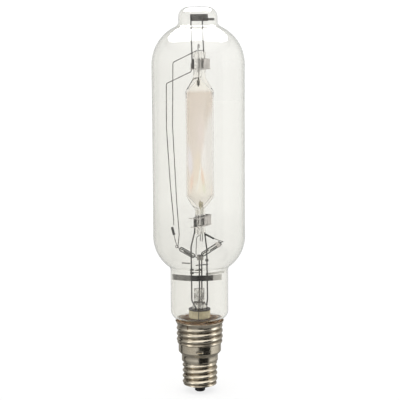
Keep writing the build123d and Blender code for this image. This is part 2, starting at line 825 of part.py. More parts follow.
def glass_capsule(start, end, radius):
    """Closed glass tube with round ends and a hole through each end for its tail."""
    axis = Vector(*end) - Vector(*start)
    side = Vector(0, 1, 0)
    with BuildPart() as capsule:
        for inset, mode in ((0, Mode.ADD), (glass_wall, Mode.SUBTRACT)):
            with BuildSketch(Plane(origin=start, x_dir=side, z_dir=side.cross(axis))) as half:
                with BuildLine():
                    Polyline(
                        (0, inset),
                        (radius - inset, inset),
                        (radius - inset, axis.length - inset),
                        (0, axis.length - inset),
                        close=True,
                    )
                make_face()
                fillet(half.vertices().group_by(Axis.X)[-1], (radius - inset) * 0.8)
            revolve(axis=Axis(start, axis), mode=mode)
        with BuildSketch(Plane(origin=start, z_dir=axis)):
            Circle(tail_radius + seal_gap)
        extrude(amount=axis.length, mode=Mode.SUBTRACT)
    return capsule.part


def blade(start, end, side, length, width):
    """Tail through the end of a capsule with a flat blade on it, to one side of the axis."""
    inward = Vector(*end) - Vector(*start)
    tail = tube_point(start, end, -tail_length)
    with BuildPart() as metal:
        with BuildSketch(Plane(origin=tail, x_dir=(0, 1, 0), z_dir=inward)):
            Circle(tail_radius)
        extrude(amount=tail_length + 3)
        with BuildSketch(Plane(origin=tube_point(start, end, 2), x_dir=(0, 1, 0), z_dir=inward)):
            with Locations((0, side * (tail_radius + blade_sheet - 0.2) / 2)):
                Rectangle(width, blade_sheet)
        extrude(amount=length)
    return metal.part


switch_glass = glass_capsule(switch_start, switch_end, switch_radius)
save(switch_glass, "switch_glass")
switch_blade_left = blade(switch_start, switch_end, 1, 13, 2.4)
save(switch_blade_left, "switch_blade_left")
switch_blade_right = blade(switch_end, switch_start, 1, 12, 2.4)
save(switch_blade_right, "switch_blade_right")
bottle_glass = glass_capsule(bottle_start, bottle_end, bottle_radius)
save(bottle_glass, "bottle_glass")
bottle_electrode = blade(bottle_start, bottle_end, 1, 8, 1.2)
save(bottle_electrode, "bottle_electrode")
bottle_bimetal = blade(bottle_end, bottle_start, 1, 13, 2.4)
save(bottle_bimetal, "bottle_bimetal")

bottle_axis = Vector(*bottle_end) - Vector(*bottle_start)
ferrule_start = tube_point(bottle_end, bottle_start, ferrule_length + 2)
with BuildPart() as bottle_ferrule:
    with BuildSketch(Plane(origin=ferrule_start, z_dir=bottle_axis)):
        Circle(bottle_radius + 0.4)
        Circle(bottle_radius + 0.1, mode=Mode.SUBTRACT)
    extrude(amount=ferrule_length)
save(bottle_ferrule.part, "bottle_ferrule")

bracket_front = -(lead_diameter / 2 + weld_gap + clip_sheet)
bottle_tail = tube_point(bottle_start, bottle_end, -tail_length)
with BuildPart() as starter_bracket:
    with BuildSketch(Plane.XZ.offset(-bracket_front - clip_sheet)):
        with Locations((1.05, lead_top - 0.7)):
            Rectangle(7.1, 6.4)
    extrude(amount=clip_sheet)
    with BuildSketch(Plane.XY.offset(bottle_tail.Z + tail_radius + 0.15)):
        with Locations((-0.9, (bracket_front + bottle_tail.Y) / 2)):
            Rectangle(1.8, bracket_front - bottle_tail.Y)
    extrude(amount=clip_sheet)
save(starter_bracket.part, "starter_bracket")

# Resistors: two small dark rods in the starter circuit
left_resistor_top = (-29.8, -6.0, lead_top + 34.8)
left_resistor_foot = (-27.7, -6.0, lead_top + 26.1)
left_resistor = bent_wire([left_resistor_top, left_resistor_foot], 2.8, 1)
save(left_resistor, "left_resistor")
right_resistor_start = (6.3, 5.0, pin_bottom + 7.1)
right_resistor_end = (16.2, -2.6, pin_bottom + 3.2)
right_resistor = bent_wire([right_resistor_start, right_resistor_end], 2.1, 1)
save(right_resistor, "right_resistor")


def eyed_wire(points, diameter, bend, eye_centre, eye_radius):
    """Wire with its last end bent round into an eye that faces the front."""
    with BuildPart() as wire:
        add(bent_wire(points, diameter, bend))
        with Locations(Location(eye_centre, (90, 0, 0))):
            Torus(eye_radius, diameter / 2)
    return wire.part


# Thin wires of the starter circuit
pin_x, pin_y = pinch_point(upper_turn, upper_pin_u, 0)
link_height = upper_pinch + pinch_length + 1.4
switch_tail = tube_point(switch_start, switch_end, -tail_length + 0.8)
starter_wire_points = [
    (pin_x - (pin_diameter + wire_diameter) / 2 - weld_gap, pin_y + 0.2, link_height),
    (-27.6, 4.0, link_height - 13.0),
    (-28.6, 5.0, link_height - 82.6),
    (-24.7, 5.0, lower_clip_bottom + 26.0),
    (-22.2, 4.0, lead_top + 25.0),
    (switch_tail.X, switch_tail.Y + tail_radius + wire_diameter / 2 + 0.2, switch_tail.Z + 0.2),
]
starter_wire = bent_wire(starter_wire_points, wire_diameter, 3)
save(starter_wire, "starter_wire")

return_start = pinch_point(
    upper_turn, top_near_u, near_rod_v - (top_rod_diameter + wire_diameter) / 2 - weld_gap
)
return_eye_radius = 1.4
return_eye = (
    left_resistor_top[0] + 0.3,
    left_resistor_top[1],
    left_resistor_top[2] + return_eye_radius + wire_diameter / 2 + 0.2,
)
return_wire_points = [
    (*return_start, upper_clip_bottom + 7),
    (*return_start, upper_clip_bottom - 2),
    (-34.6, -6.0, upper_clip_bottom - 14.7),
    (-35.0, -6.0, upper_clip_bottom - 62.0),
    (-31.3, -6.0, lower_clip_bottom + 48.0),
    (-28.0, -6.0, lead_top + 43.0),
    (return_eye[0] + return_eye_radius, return_eye[1], return_eye[2]),
]
return_wire = eyed_wire(return_wire_points, wire_diameter, 2.5, return_eye, return_eye_radius)
save(return_wire, "return_wire")

capsule_eye_radius = 1.5
capsule_eye = (
    switch_tail.X - 0.9,
    switch_tail.Y - tail_radius - fine_diameter / 2 - weld_gap,
    switch_tail.Z + 1.2,
)
capsule_wire_points = [
    (left_resistor_foot[0] + 0.04, -6.0, left_resistor_foot[2] - 0.4),
    (-26.3, -5.0, lead_top + 19.0),
    (capsule_eye[0], capsule_eye[1], capsule_eye[2] + capsule_eye_radius),
]
capsule_wire = eyed_wire(capsule_wire_points, fine_diameter, 1, capsule_eye, capsule_eye_radius)
save(capsule_wire, "capsule_wire")

bottle_far_tail = tube_point(bottle_end, bottle_start, -tail_length + 1)
bottle_wire_points = [
    (right_resistor_end[0] + 0.5, right_resistor_end[1] - 0.1, right_resistor_end[2] - 0.1),
    (bottle_far_tail.X, bottle_far_tail.Y + tail_radius + fine_diameter / 2 + weld_gap, bottle_far_tail.Z),
]
bottle_wire = bent_wire(bottle_wire_points, fine_diameter, 3)
save(bottle_wire, "bottle_wire")

jumper_points = [
    (arc_x - (pin_diameter + fine_diameter) / 2 - weld_gap, 0, pin_bottom + 6.7),
    (-2.8, -1.2, pin_bottom + 4.1),
    (-3.6, switch_end[1], lead_top + 6.0),
    (-3.6, switch_end[1], lead_top + 0.5),
]
jumper = bent_wire(jumper_points, fine_diameter, 2)
save(jumper, "jumper")

link_part = (link_height - top_rod_bend) / (ring_bottom - 4 - top_rod_bend)
link_end = Vector(*top_far_spot) + (Vector(*right_ring_spot) - Vector(*top_far_spot)) * link_part
link_run = link_end - Vector(pin_x, pin_y)
link_from = Vector(pin_x, pin_y) + link_run.normalized() * (pin_diameter / 2 + 0.1)
link_to = link_end - link_run.normalized() * (top_rod_diameter / 2 + 0.15)
link_points = [(link_from.X, link_from.Y, link_height), (link_to.X, link_to.Y, link_height)]
link_wire = bent_wire(link_points, fine_diameter, 1)
save(link_wire, "link_wire")
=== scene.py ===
import json
import math

import bmesh
import bpy
from mathutils import Matrix, Quaternion, Vector


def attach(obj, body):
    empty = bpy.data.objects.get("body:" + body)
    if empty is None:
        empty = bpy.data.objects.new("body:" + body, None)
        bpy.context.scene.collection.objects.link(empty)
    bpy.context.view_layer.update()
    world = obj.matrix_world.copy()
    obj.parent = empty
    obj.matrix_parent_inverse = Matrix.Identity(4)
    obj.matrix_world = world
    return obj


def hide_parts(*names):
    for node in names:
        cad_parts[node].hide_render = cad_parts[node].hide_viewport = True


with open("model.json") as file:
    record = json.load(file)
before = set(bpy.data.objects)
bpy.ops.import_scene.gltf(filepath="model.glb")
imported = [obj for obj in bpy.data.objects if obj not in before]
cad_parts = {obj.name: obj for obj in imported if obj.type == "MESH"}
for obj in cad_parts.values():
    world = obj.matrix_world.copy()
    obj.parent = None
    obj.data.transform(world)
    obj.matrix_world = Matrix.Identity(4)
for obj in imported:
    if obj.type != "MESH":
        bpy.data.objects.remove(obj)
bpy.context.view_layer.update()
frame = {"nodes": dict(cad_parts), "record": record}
nodes = frame["nodes"]
scene = bpy.context.scene
mm = 0.001  # the lamp is measured in millimetres, the scene in metres
print("frame:", len(nodes), "CAD nodes")


# shared helpers for meshes
def finishPiece(name, bm, mat, cadNodes, crease=None):
    mesh = bpy.data.meshes.new(name)
    bm.to_mesh(mesh)
    bm.free()
    mesh.polygons.foreach_set("use_smooth", [True] * len(mesh.polygons))
    if crease:
        mesh.set_sharp_from_angle(angle=math.radians(crease))
    mesh.materials.append(mat)
    piece = bpy.data.objects.new(name, mesh)
    scene.collection.objects.link(piece)
    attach(piece, "root")
    if cadNodes:
        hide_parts(*cadNodes)
    print("piece:", name, len(mesh.polygons), "faces")
    return piece


def dressNode(node, mat):
    nodes[node].data.materials.clear()
    nodes[node].data.materials.append(mat)


def spinOutline(points, steps, closed, centreX=0.0):
    bm = bmesh.new()
    verts = [bm.verts.new(((centreX + r) * mm, 0, z * mm)) for r, z in points]
    edges = [bm.edges.new(pair) for pair in zip(verts, verts[1:])]
    if closed:
        edges.append(bm.edges.new((verts[-1], verts[0])))
    bmesh.ops.spin(
        bm, geom=verts + edges, cent=(centreX * mm, 0, 0), axis=(0, 0, 1), dvec=(0, 0, 0),
        angle=2 * math.pi, steps=steps, use_merge=True,
    )
    bmesh.ops.remove_doubles(bm, verts=bm.verts, dist=1e-7)
    bmesh.ops.recalc_face_normals(bm, faces=bm.faces)
    return bm


def arcRun(cx, cz, radius, start, end, count):
    turn = [math.radians(start + (end - start) * i / count) for i in range(count + 1)]
    return [(cx + radius * math.cos(a), cz + radius * math.sin(a)) for a in turn]


def smoothStep(x):
    x = max(0.0, min(1.0, x))
    return x * x * (3 - 2 * x)


# shared helpers for materials
def startMaterial(name):
    mat = bpy.data.materials.new(name)
    mat.use_nodes = True
    return mat, mat.node_tree.nodes["Principled BSDF"]


def noiseOn(mat, scale, detail=4.0, stretch=(1, 1, 1), shift=(0, 0, 0), warp=0.0):
    tree = mat.node_tree
    coords = tree.nodes.new("ShaderNodeTexCoord")
    mapping = tree.nodes.new("ShaderNodeMapping")
    mapping.inputs["Scale"].default_value = stretch
    mapping.inputs["Location"].default_value = shift
    noise = tree.nodes.new("ShaderNodeTexNoise")
    noise.inputs["Scale"].default_value = scale
    noise.inputs["Detail"].default_value = detail
    noise.inputs["Distortion"].default_value = warp
    tree.links.new(coords.outputs["Object"], mapping.inputs["Vector"])
    tree.links.new(mapping.outputs["Vector"], noise.inputs["Vector"])
    return noise.outputs["Fac"]


def partsOn(mat, kind="Object"):
    tree = mat.node_tree
    coords = tree.nodes.new("ShaderNodeTexCoord")
    parts = tree.nodes.new("ShaderNodeSeparateXYZ")
    tree.links.new(coords.outputs[kind], parts.inputs["Vector"])
    return parts.outputs


def radiusOn(mat):
    tree = mat.node_tree
    coords = tree.nodes.new("ShaderNodeTexCoord")
    level = tree.nodes.new("ShaderNodeMapping")
    level.inputs["Scale"].default_value = (1, 1, 0)
    reach = tree.nodes.new("ShaderNodeVectorMath")
    reach.operation = "LENGTH"
    tree.links.new(coords.outputs["Object"], level.inputs["Vector"])
    tree.links.new(level.outputs["Vector"], reach.inputs[0])
    return reach.outputs["Value"]


def rampOn(mat, source, stops):
    node = mat.node_tree.nodes.new("ShaderNodeValToRGB")
    elements = node.color_ramp.elements
    while len(elements) < len(stops):
        elements.new(0.5)
    for element, (place, colour) in zip(elements, stops):
        element.position = place
        element.color = (*colour, 1)
    mat.node_tree.links.new(source, node.inputs["Fac"])
    return node.outputs["Color"]


def greys(*stops):
    return [(place, (tone, tone, tone)) for place, tone in stops]


def rangeOn(mat, source, low, high, fromLow=0.3, fromHigh=0.7, shape="LINEAR"):
    node = mat.node_tree.nodes.new("ShaderNodeMapRange")
    node.interpolation_type = shape
    node.inputs["From Min"].default_value = fromLow
    node.inputs["From Max"].default_value = fromHigh
    node.inputs["To Min"].default_value = low
    node.inputs["To Max"].default_value = high
    mat.node_tree.links.new(source, node.inputs["Value"])
    return node.outputs["Result"]


def mixOn(mat, factor, first, second, blend="MIX", kind="RGBA"):
    node = mat.node_tree.nodes.new("ShaderNodeMix")
    node.data_type = kind
    node.blend_type = blend
    for key, value in (("Factor", factor), ("A", first), ("B", second)):
        if isinstance(value, float):
            node.inputs[key].default_value = value
        elif isinstance(value, tuple):
            node.inputs[key].default_value = (*value, 1)
        else:
            mat.node_tree.links.new(value, node.inputs[key])
    return node.outputs["Result"]


def mathOn(mat, operation, *values):
    node = mat.node_tree.nodes.new("ShaderNodeMath")
    node.operation = operation
    for value, socket in zip(values, node.inputs):
        if isinstance(value, float):
            socket.default_value = value
        else:
            mat.node_tree.links.new(value, socket)
    return node.outputs[0]


def facingOn(mat, stops, normal=None):
    node = mat.node_tree.nodes.new("ShaderNodeLayerWeight")
    node.inputs["Blend"].default_value = 0.5
    if normal:
        mat.node_tree.links.new(normal, node.inputs["Normal"])
    return rampOn(mat, node.outputs["Facing"], stops)


def bumpOn(mat, shader, source, strength, distance):
    node = mat.node_tree.nodes.new("ShaderNodeBump")
    node.inputs["Strength"].default_value = strength
    node.inputs["Distance"].default_value = distance
    mat.node_tree.links.new(source, node.inputs["Height"])
    mat.node_tree.links.new(node.outputs["Normal"], shader.inputs["Normal"])


# a second relief on top of the first, whose strength varies over the piece
def rippleOn(mat, source, strength, distance):
    shader = mat.node_tree.nodes["Principled BSDF"]
    before = shader.inputs["Normal"].links[0].from_socket
    bumpOn(mat, shader, source, 1.0, distance)
    node = shader.inputs["Normal"].links[0].from_node
    mat.node_tree.links.new(strength, node.inputs["Strength"])
    mat.node_tree.links.new(before, node.inputs["Normal"])
    return node.outputs["Normal"]


def clearGlass(name, look):
    mat, shader = startMaterial(name)
    shader.inputs["Base Color"].default_value = (*look["tint"], 1)
    shader.inputs["Roughness"].default_value = look["roughness"]
    shader.inputs["IOR"].default_value = look["ior"]
    shader.inputs["Transmission Weight"].default_value = 1.0
    waves = noiseOn(mat, look["waveScale"], 2.0, look["waveStretch"])
    bumpOn(mat, shader, waves, look["wave"], look["waveDepth"])
    # painted shade: a rim darkens the glass colour as the glass turns edge on, standing in for the darker
    # surroundings seen there
    if "rim" in look:
        rim = facingOn(mat, [(look["rimStart"], look["tint"]), (look["rimEnd"], look["rim"])])
        mat.node_tree.links.new(rim, shader.inputs["Base Color"])
    absorb = mat.node_tree.nodes.new("ShaderNodeVolumeAbsorption")
    absorb.inputs["Color"].default_value = (*look["edgeColour"], 1)
    absorb.inputs["Density"].default_value = look["edgeDensity"]
    output = mat.node_tree.nodes["Material Output"]
    mat.node_tree.links.new(absorb.outputs["Volume"], output.inputs["Volume"])
    return mat


def wornMetal(name, look):
    mat, shader = startMaterial(name)
    shader.inputs["Metallic"].default_value = 1.0
    grain = noiseOn(mat, look["grain"], 5.0, look["stretch"])
    tone = rampOn(mat, grain, [(0.3, look["dark"]), (0.55, look["mid"]), (0.75, look["light"])])
    mat.node_tree.links.new(tone, shader.inputs["Base Color"])
    blotch = noiseOn(mat, look["blotch"], 3.0)
    mat.node_tree.links.new(rangeOn(mat, blotch, *look["roughness"]), shader.inputs["Roughness"])
    bumpOn(mat, shader, grain, look["bump"], distance=0.0002)
    return mat


# finishes
bulbGlassLook = {
    "tint": (0.944, 0.937, 0.913), "roughness": 0.0, "ior": 1.48,
    "wave": 0.035, "waveDepth": 0.001, "waveScale": 22.0, "waveStretch": (1, 1, 0.35),
    "edgeColour": (0.80, 0.81, 0.77), "edgeDensity": 170.0,
}
# rim, rimStart and rimEnd: painted dark edges, from the facing where the darkening starts to where it is full
stemGlassLook = {
    "tint": (0.97, 0.965, 0.95), "roughness": 0.0, "ior": 1.55,
    "rim": (0.62, 0.61, 0.57), "rimStart": 0.5, "rimEnd": 0.97,
    "wave": 0.6, "waveDepth": 0.004, "waveScale": 260.0, "waveStretch": (1, 1, 0.5),
    "edgeColour": (0.80, 0.79, 0.74), "edgeDensity": 60.0,
}
starterGlassLook = {
    "tint": (0.985, 0.985, 0.975), "roughness": 0.0, "ior": 1.5,
    "rim": (0.006, 0.006, 0.006), "rimStart": 0.22, "rimEnd": 0.36,
    "wave": 0.08, "waveDepth": 0.001, "waveScale": 300.0, "waveStretch": (1, 1, 1),
    "edgeColour": (0.6, 0.6, 0.58), "edgeDensity": 300.0,
}
quartzLook = {
    "tint": (0.99, 0.985, 0.975), "roughness": 0.0, "ior": 1.46,
    "wave": 0.10, "waveDepth": 0.001, "waveScale": 120.0, "waveStretch": (1, 1, 0.08),
    "edgeColour": (0.80, 0.78, 0.74), "edgeDensity": 15.0,
}
metalLooks = {
    "dark_steel": {
        "dark": (0.045, 0.043, 0.04), "mid": (0.10, 0.096, 0.09), "light": (0.19, 0.18, 0.17),
        "grain": 900.0, "stretch": (1, 1, 0.3), "blotch": 140.0, "roughness": (0.32, 0.55), "bump": 0.15,
    },
    "lead_wire": {
        "dark": (0.03, 0.026, 0.024), "mid": (0.07, 0.058, 0.052), "light": (0.16, 0.12, 0.10),
        "grain": 1200.0, "stretch": (1, 1, 0.2), "blotch": 160.0, "roughness": (0.35, 0.6), "bump": 0.12,
    },
    "tungsten": {
        "dark": (0.09, 0.085, 0.07), "mid": (0.20, 0.19, 0.16), "light": (0.33, 0.31, 0.27),
        "grain": 900.0, "stretch": (1, 1, 0.4), "blotch": 300.0, "roughness": (0.4, 0.6), "bump": 0.15,
    },
    "molybdenum": {
        "dark": (0.24, 0.24, 0.235), "mid": (0.40, 0.39, 0.38), "light": (0.56, 0.55, 0.54),
        "grain": 900.0, "stretch": (1, 1, 0.2), "blotch": 220.0, "roughness": (0.28, 0.5), "bump": 0.12,
    },
    # painted light: the clips get a pale steel, much lighter than the rods, so that they read as lit inside the
    # bulb
    "clip_steel": {
        "dark": (0.40, 0.38, 0.365), "mid": (0.56, 0.53, 0.51), "light": (0.70, 0.67, 0.645),
        "grain": 500.0, "stretch": (1, 1, 0.25), "blotch": 160.0, "roughness": (0.3, 0.5), "bump": 0.2,
    },
    "rod_steel": {
        "dark": (0.05, 0.048, 0.044), "mid": (0.11, 0.104, 0.097), "light": (0.20, 0.19, 0.18),
        "grain": 900.0, "stretch": (1, 1, 0.12), "blotch": 120.0, "roughness": (0.28, 0.5), "bump": 0.1,
    },
    "spring_steel": {
        "dark": (0.10, 0.098, 0.092), "mid": (0.20, 0.195, 0.185), "light": (0.34, 0.33, 0.31),
        "grain": 500.0, "stretch": (0.15, 1, 1), "blotch": 120.0, "roughness": (0.25, 0.45), "bump": 0.15,
    },
    "thin_wire": {
        "dark": (0.08, 0.075, 0.07), "mid": (0.16, 0.155, 0.145), "light": (0.30, 0.29, 0.27),
        "grain": 900.0, "stretch": (1, 1, 0.1), "blotch": 120.0, "roughness": (0.28, 0.5), "bump": 0.1,
    },
    "contact_metal": {
        "dark": (0.02, 0.02, 0.021), "mid": (0.05, 0.05, 0.053), "light": (0.12, 0.118, 0.115),
        "grain": 500.0, "stretch": (1, 1, 1), "blotch": 200.0, "roughness": (0.3, 0.5), "bump": 0.3,
    },
}
finishes = {name: wornMetal(name, look) for name, look in metalLooks.items()}
for slotName, glassLook in (
    ("bulb_glass", bulbGlassLook), ("stem_glass", stemGlassLook),
    ("starter_glass", starterGlassLook), ("quartz", quartzLook),
):
    finishes[slotName] = clearGlass(slotName, glassLook)


# the jaws that closed the stem on its leads left it crumpled; the crumples also carry painted shade, dark lines
# where the rippled glass turns edge on
stemPress = {
    "reach": (0.102, 0.106), "scale": 185.0, "stretch": (1, 0.2, 0.8), "twist": 2.6, "depth": 0.0030,
    "crease": [(0.24, (1.0, 1.0, 1.0)), (0.40, (0.09, 0.085, 0.08))],
}


def crumplePress(mat, look):
    shader = mat.node_tree.nodes["Principled BSDF"]
    press = rangeOn(mat, partsOn(mat)["Z"], 0.0, 1.0, *look["reach"])
    folds = noiseOn(mat, look["scale"], 2.0, look["stretch"], (0, 0, 0), look["twist"])
    # painted shade: the colour goes dark where the rippled surface turns edge on
    crease = facingOn(mat, look["crease"], rippleOn(mat, folds, press, look["depth"]))
    tone = shader.inputs["Base Color"].links[0].from_socket
    mat.node_tree.links.new(mixOn(mat, press, tone, crease, "MULTIPLY"), shader.inputs["Base Color"])


crumplePress(finishes["stem_glass"], stemPress)


# the bulb's colour darkens in bands by height and on the left of the body
bulbTones = {
    "reach": (0.08, 0.43), "across": (-0.05, 0.05), "patch": 0.35, "patchScale": 14.0,
    "tones": [
        (0.0, (0.962, 0.953, 0.931)), (0.14, (0.962, 0.954, 0.934)), (0.24, (0.950, 0.944, 0.927)),
        (0.34, (0.941, 0.936, 0.920)), (0.80, (0.943, 0.938, 0.924)), (0.87, (0.962, 0.957, 0.946)),
        (0.95, (0.943, 0.938, 0.924)),
    ],
    "sides": [(0.0, (0.972, 0.970, 0.966)), (0.30, (0.976, 0.974, 0.970)), (0.62, (1.0, 1.0, 1.0))],
    "rim": [(0.64, (1.0, 1.0, 1.0)), (0.86, (0.76, 0.76, 0.75))], "rimReach": (0.145, 0.18),
}


def toneBulb(mat, look):
    parts = partsOn(mat)
    shader = mat.node_tree.nodes["Principled BSDF"]
    tall = rampOn(mat, rangeOn(mat, parts["Z"], 0.0, 1.0, *look["reach"]), look["tones"])
    half = look["patch"] / 2
    across = rangeOn(mat, parts["X"], -half, 1.0 - half, *look["across"])
    patches = noiseOn(mat, look["patchScale"], 3.0, (1, 1, 0.5))  # the edge of the darker left part wanders
    wide = rampOn(mat, mathOn(mat, "MULTIPLY_ADD", patches, look["patch"], across), look["sides"])
    film = mixOn(mat, 1.0, tall, wide, "MULTIPLY")
    rim = facingOn(mat, look["rim"])  # painted shade: seen edge on, the wall is thick and its colour is darkened for the darker surroundings it shows
    body = rangeOn(mat, parts["Z"], 0.0, 1.0, *look["rimReach"])
    mat.node_tree.links.new(mixOn(mat, body, film, rim, "MULTIPLY"), shader.inputs["Base Color"])


toneBulb(finishes["bulb_glass"], bulbTones)


def softSpot(mat, centre, size, turn, soft, ripple):
    tree = mat.node_tree
    coords = tree.nodes.new("ShaderNodeTexCoord")
    place = tree.nodes.new("ShaderNodeMapping")
    place.vector_type = "TEXTURE"
    place.inputs["Location"].default_value = (centre[0], 0, centre[1])
    place.inputs["Rotation"].default_value = (0, math.radians(turn), 0)
    place.inputs["Scale"].default_value = (size[0], 1000, size[1])  # so deep that depth doesn't count
    tree.links.new(coords.outputs["Object"], place.inputs["Vector"])
    reach = tree.nodes.new("ShaderNodeVectorMath")
    reach.operation = "LENGTH"
    tree.links.new(place.outputs["Vector"], reach.inputs[0])
    edge = mathOn(mat, "MULTIPLY_ADD", noiseOn(mat, 160.0, 3.0, (1, 1, 0.4)), ripple, reach.outputs["Value"])
    return rangeOn(mat, edge, 1.0, 0.0, 1.0 - soft + ripple / 2, 1.0 + ripple / 2)


def stainQuartz(mat, look):
    tree = mat.node_tree
    shader = tree.nodes["Principled BSDF"]
    drift = noiseOn(mat, look["driftScale"], 3.0, look["driftStretch"], (0.0, 0.0, 0.3), 0.8)
    tone = rampOn(mat, drift, [(0.34, look["pink"]), (0.52, look["beige"]), (0.68, look["grey"])])
    for patch in look["patches"]:
        tone = mixOn(mat, softSpot(mat, *patch["spot"]), tone, patch["colour"])
    height = rangeOn(mat, partsOn(mat)["Z"], 0.0, 1.0, *look["reach"])
    stained = mixOn(mat, rampOn(mat, height, look["cover"]), look["clear"], tone)
    # painted shade: the colour darkens as the tube turns edge on
    edgeShaded = mixOn(mat, 1.0, stained, facingOn(mat, look["rim"]), "MULTIPLY")
    tree.links.new(edgeShaded, shader.inputs["Base Color"])
    tree.links.new(rampOn(mat, height, look["frost"]), shader.inputs["Roughness"])
    bend = rangeOn(mat, rampOn(mat, height, look["bend"]), 1.0, 1.5, 0.0, 1.0)
    tree.links.new(bend, shader.inputs["IOR"])  # the blown cones are thin and hardly bend the light
    jaws = noiseOn(mat, look["jawScale"], 3.0, (1, 1, 0.45), (0.1, 0.2, 0.0), 1.6)  # they ripple the pinches
    rippleOn(mat, jaws, rampOn(mat, height, look["press"]), look["jawDepth"])


# patches: place (x, z), size (x, z), turn, softness and ripple of the edge
# cover, frost, bend and press go by height over the reach, from 0 to 1
quartzStain = {
    "pink": (0.915, 0.865, 0.838), "beige": (0.918, 0.873, 0.832), "grey": (0.93, 0.905, 0.885),
    "clear": (0.990, 0.976, 0.952), "driftScale": 30.0, "driftStretch": (1, 1, 0.25),
    "patches": [
        {"colour": (0.946, 0.906, 0.874), "spot": ((0.0014, 0.254), (0.0240, 0.062), 0.0, 0.55, 0.3)},
        {"colour": (0.988, 0.980, 0.978), "spot": ((0.0125, 0.268), (0.0115, 0.060), 6.0, 0.35, 0.25)},
        {"colour": (0.945, 0.900, 0.880), "spot": ((0.0020, 0.291), (0.0060, 0.026), 0.0, 0.8, 0.3)},
        {"colour": (0.968, 0.950, 0.975), "spot": ((-0.0100, 0.262), (0.0042, 0.022), -6.0, 0.6, 0.3)},
        {"colour": (0.992, 0.970, 0.925), "spot": ((0.0008, 0.232), (0.0160, 0.024), 0.0, 0.8, 0.3)},
        {"colour": (0.970, 0.925, 0.868), "spot": ((-0.0020, 0.254), (0.0048, 0.024), 4.0, 0.5, 0.4)},
        {"colour": (0.985, 0.885, 0.820), "spot": ((-0.0078, 0.238), (0.0030, 0.014), 6.0, 0.8, 0.5)},
        {"colour": (0.980, 0.890, 0.815), "spot": ((0.0042, 0.244), (0.0024, 0.013), -8.0, 0.7, 0.5)},
        {"colour": (0.935, 0.935, 0.845), "spot": ((0.0058, 0.231), (0.0026, 0.008), -10.0, 0.9, 0.5)},
        # painted highlights: two thin near-white streaks low on the body
        {"colour": (0.995, 0.988, 0.970), "spot": ((0.0010, 0.2465), (0.0011, 0.0095), 8.0, 0.3, 0.6)},
        {"colour": (0.995, 0.985, 0.965), "spot": ((-0.0012, 0.2345), (0.0016, 0.0085), 20.0, 0.4, 0.6)},
        {"colour": (0.50, 0.47, 0.43), "spot": ((0.0049, 0.2841), (0.0005, 0.0006), 0.0, 0.8, 0.0)},
        {"colour": (0.55, 0.52, 0.48), "spot": ((0.0069, 0.2816), (0.0006, 0.0005), 0.0, 0.8, 0.0)},
    ],
    "reach": (0.180, 0.381), "jawScale": 330.0, "jawDepth": 0.0018,
    "cover": greys((0.14, 0.0), (0.20, 0.7), (0.26, 1.0), (0.782, 1.0), (0.796, 0.0)),
    "frost": greys(
        (0.12, 0.0), (0.15, 0.04), (0.20, 0.04), (0.235, 0.0),
        (0.785, 0.0), (0.80, 0.05), (0.85, 0.05), (0.88, 0.0)),
    "bend": greys(
        (0.0, 0.5), (0.13, 0.5), (0.15, 0.12), (0.20, 0.14), (0.24, 0.60),
        (0.77, 0.66), (0.80, 0.14), (0.85, 0.12), (0.88, 0.8)),
    "press": greys((0.0, 0.5), (0.13, 0.5), (0.15, 0.0), (0.86, 0.0), (0.885, 0.9)),
    # rim: painted dark outline where the tube turns edge on
    "rim": [(0.66, (1.0, 1.0, 1.0)), (0.96, (0.30, 0.29, 0.27))],
}
stainQuartz(finishes["quartz"], quartzStain)


# the grooves of both threads are darker, between the radii given for each
capLook = {
    "bright": (0.85, 0.775, 0.635), "dull": (0.69, 0.61, 0.475), "grooveTone": (0.175, 0.122, 0.070),
    "cloud": 55.0, "grooveDark": 120.0, "rub": 35.0, "scratchScale": 60.0, "scratch": 0.16, "roughness": (0.16, 0.33),
    "screwGroove": (0.01785, 0.0190), "skirtGroove": (0.0246, 0.0254), "skirtFrom": (0.0555, 0.0585),
}


def nickelPlate(look):
    mat, shader = startMaterial("cap_nickel")
    links = mat.node_tree.links
    shader.inputs["Metallic"].default_value = 1.0
    plate = rampOn(mat, noiseOn(mat, look["cloud"], 5.0), [(0.35, look["dull"]), (0.62, look["bright"])])
    radius = radiusOn(mat)
    screw = rangeOn(mat, radius, 1.0, 0.0, *look["screwGroove"])
    skirt = rangeOn(mat, radius, 1.0, 0.0, *look["skirtGroove"])
    upper = rangeOn(mat, partsOn(mat)["Z"], 0.0, 1.0, *look["skirtFrom"])
    groove = mixOn(mat, upper, screw, skirt, kind="FLOAT")
    # the grooves are darkened, more in some places than others
    grooveDark = mathOn(mat, "MULTIPLY", groove, rangeOn(mat, noiseOn(mat, look["grooveDark"], 6.0), 0.35, 1.0))
    links.new(mixOn(mat, grooveDark, plate, look["grooveTone"]), shader.inputs["Base Color"])
    rub = noiseOn(mat, look["rub"], 6.0, (1, 1, 6))
    links.new(rangeOn(mat, rub, *look["roughness"]), shader.inputs["Roughness"])
    scratches = noiseOn(mat, look["scratchScale"], 4.0, (1, 1, 14))
    bumpOn(mat, shader, scratches, look["scratch"], distance=0.0001)
    return mat


# tones go from the hollows of the grain to its tops
mattLooks = {
    "black_glass": {
        "tones": [(0.006, 0.006, 0.007), (0.018, 0.017, 0.018)],
        "grain": 120.0, "bump": 0.15, "roughness": (0.10, 0.28),
    },
    "cement": {
        "tones": [(0.155, 0.080, 0.034), (0.225, 0.125, 0.058), (0.29, 0.172, 0.088)],
        "grain": 160.0, "bump": 0.6, "roughness": (0.75, 0.95),
    },
    "cream_ceramic": {
        "tones": [(0.31, 0.266, 0.165), (0.385, 0.337, 0.215), (0.445, 0.395, 0.265)],
        "grain": 180.0, "bump": 0.35, "roughness": (0.5, 0.75),
    },
    "resistor_black": {
        "tones": [(0.010, 0.0095, 0.009), (0.03, 0.028, 0.026)],
        "grain": 600.0, "bump": 0.4, "roughness": (0.35, 0.6),
    },
}


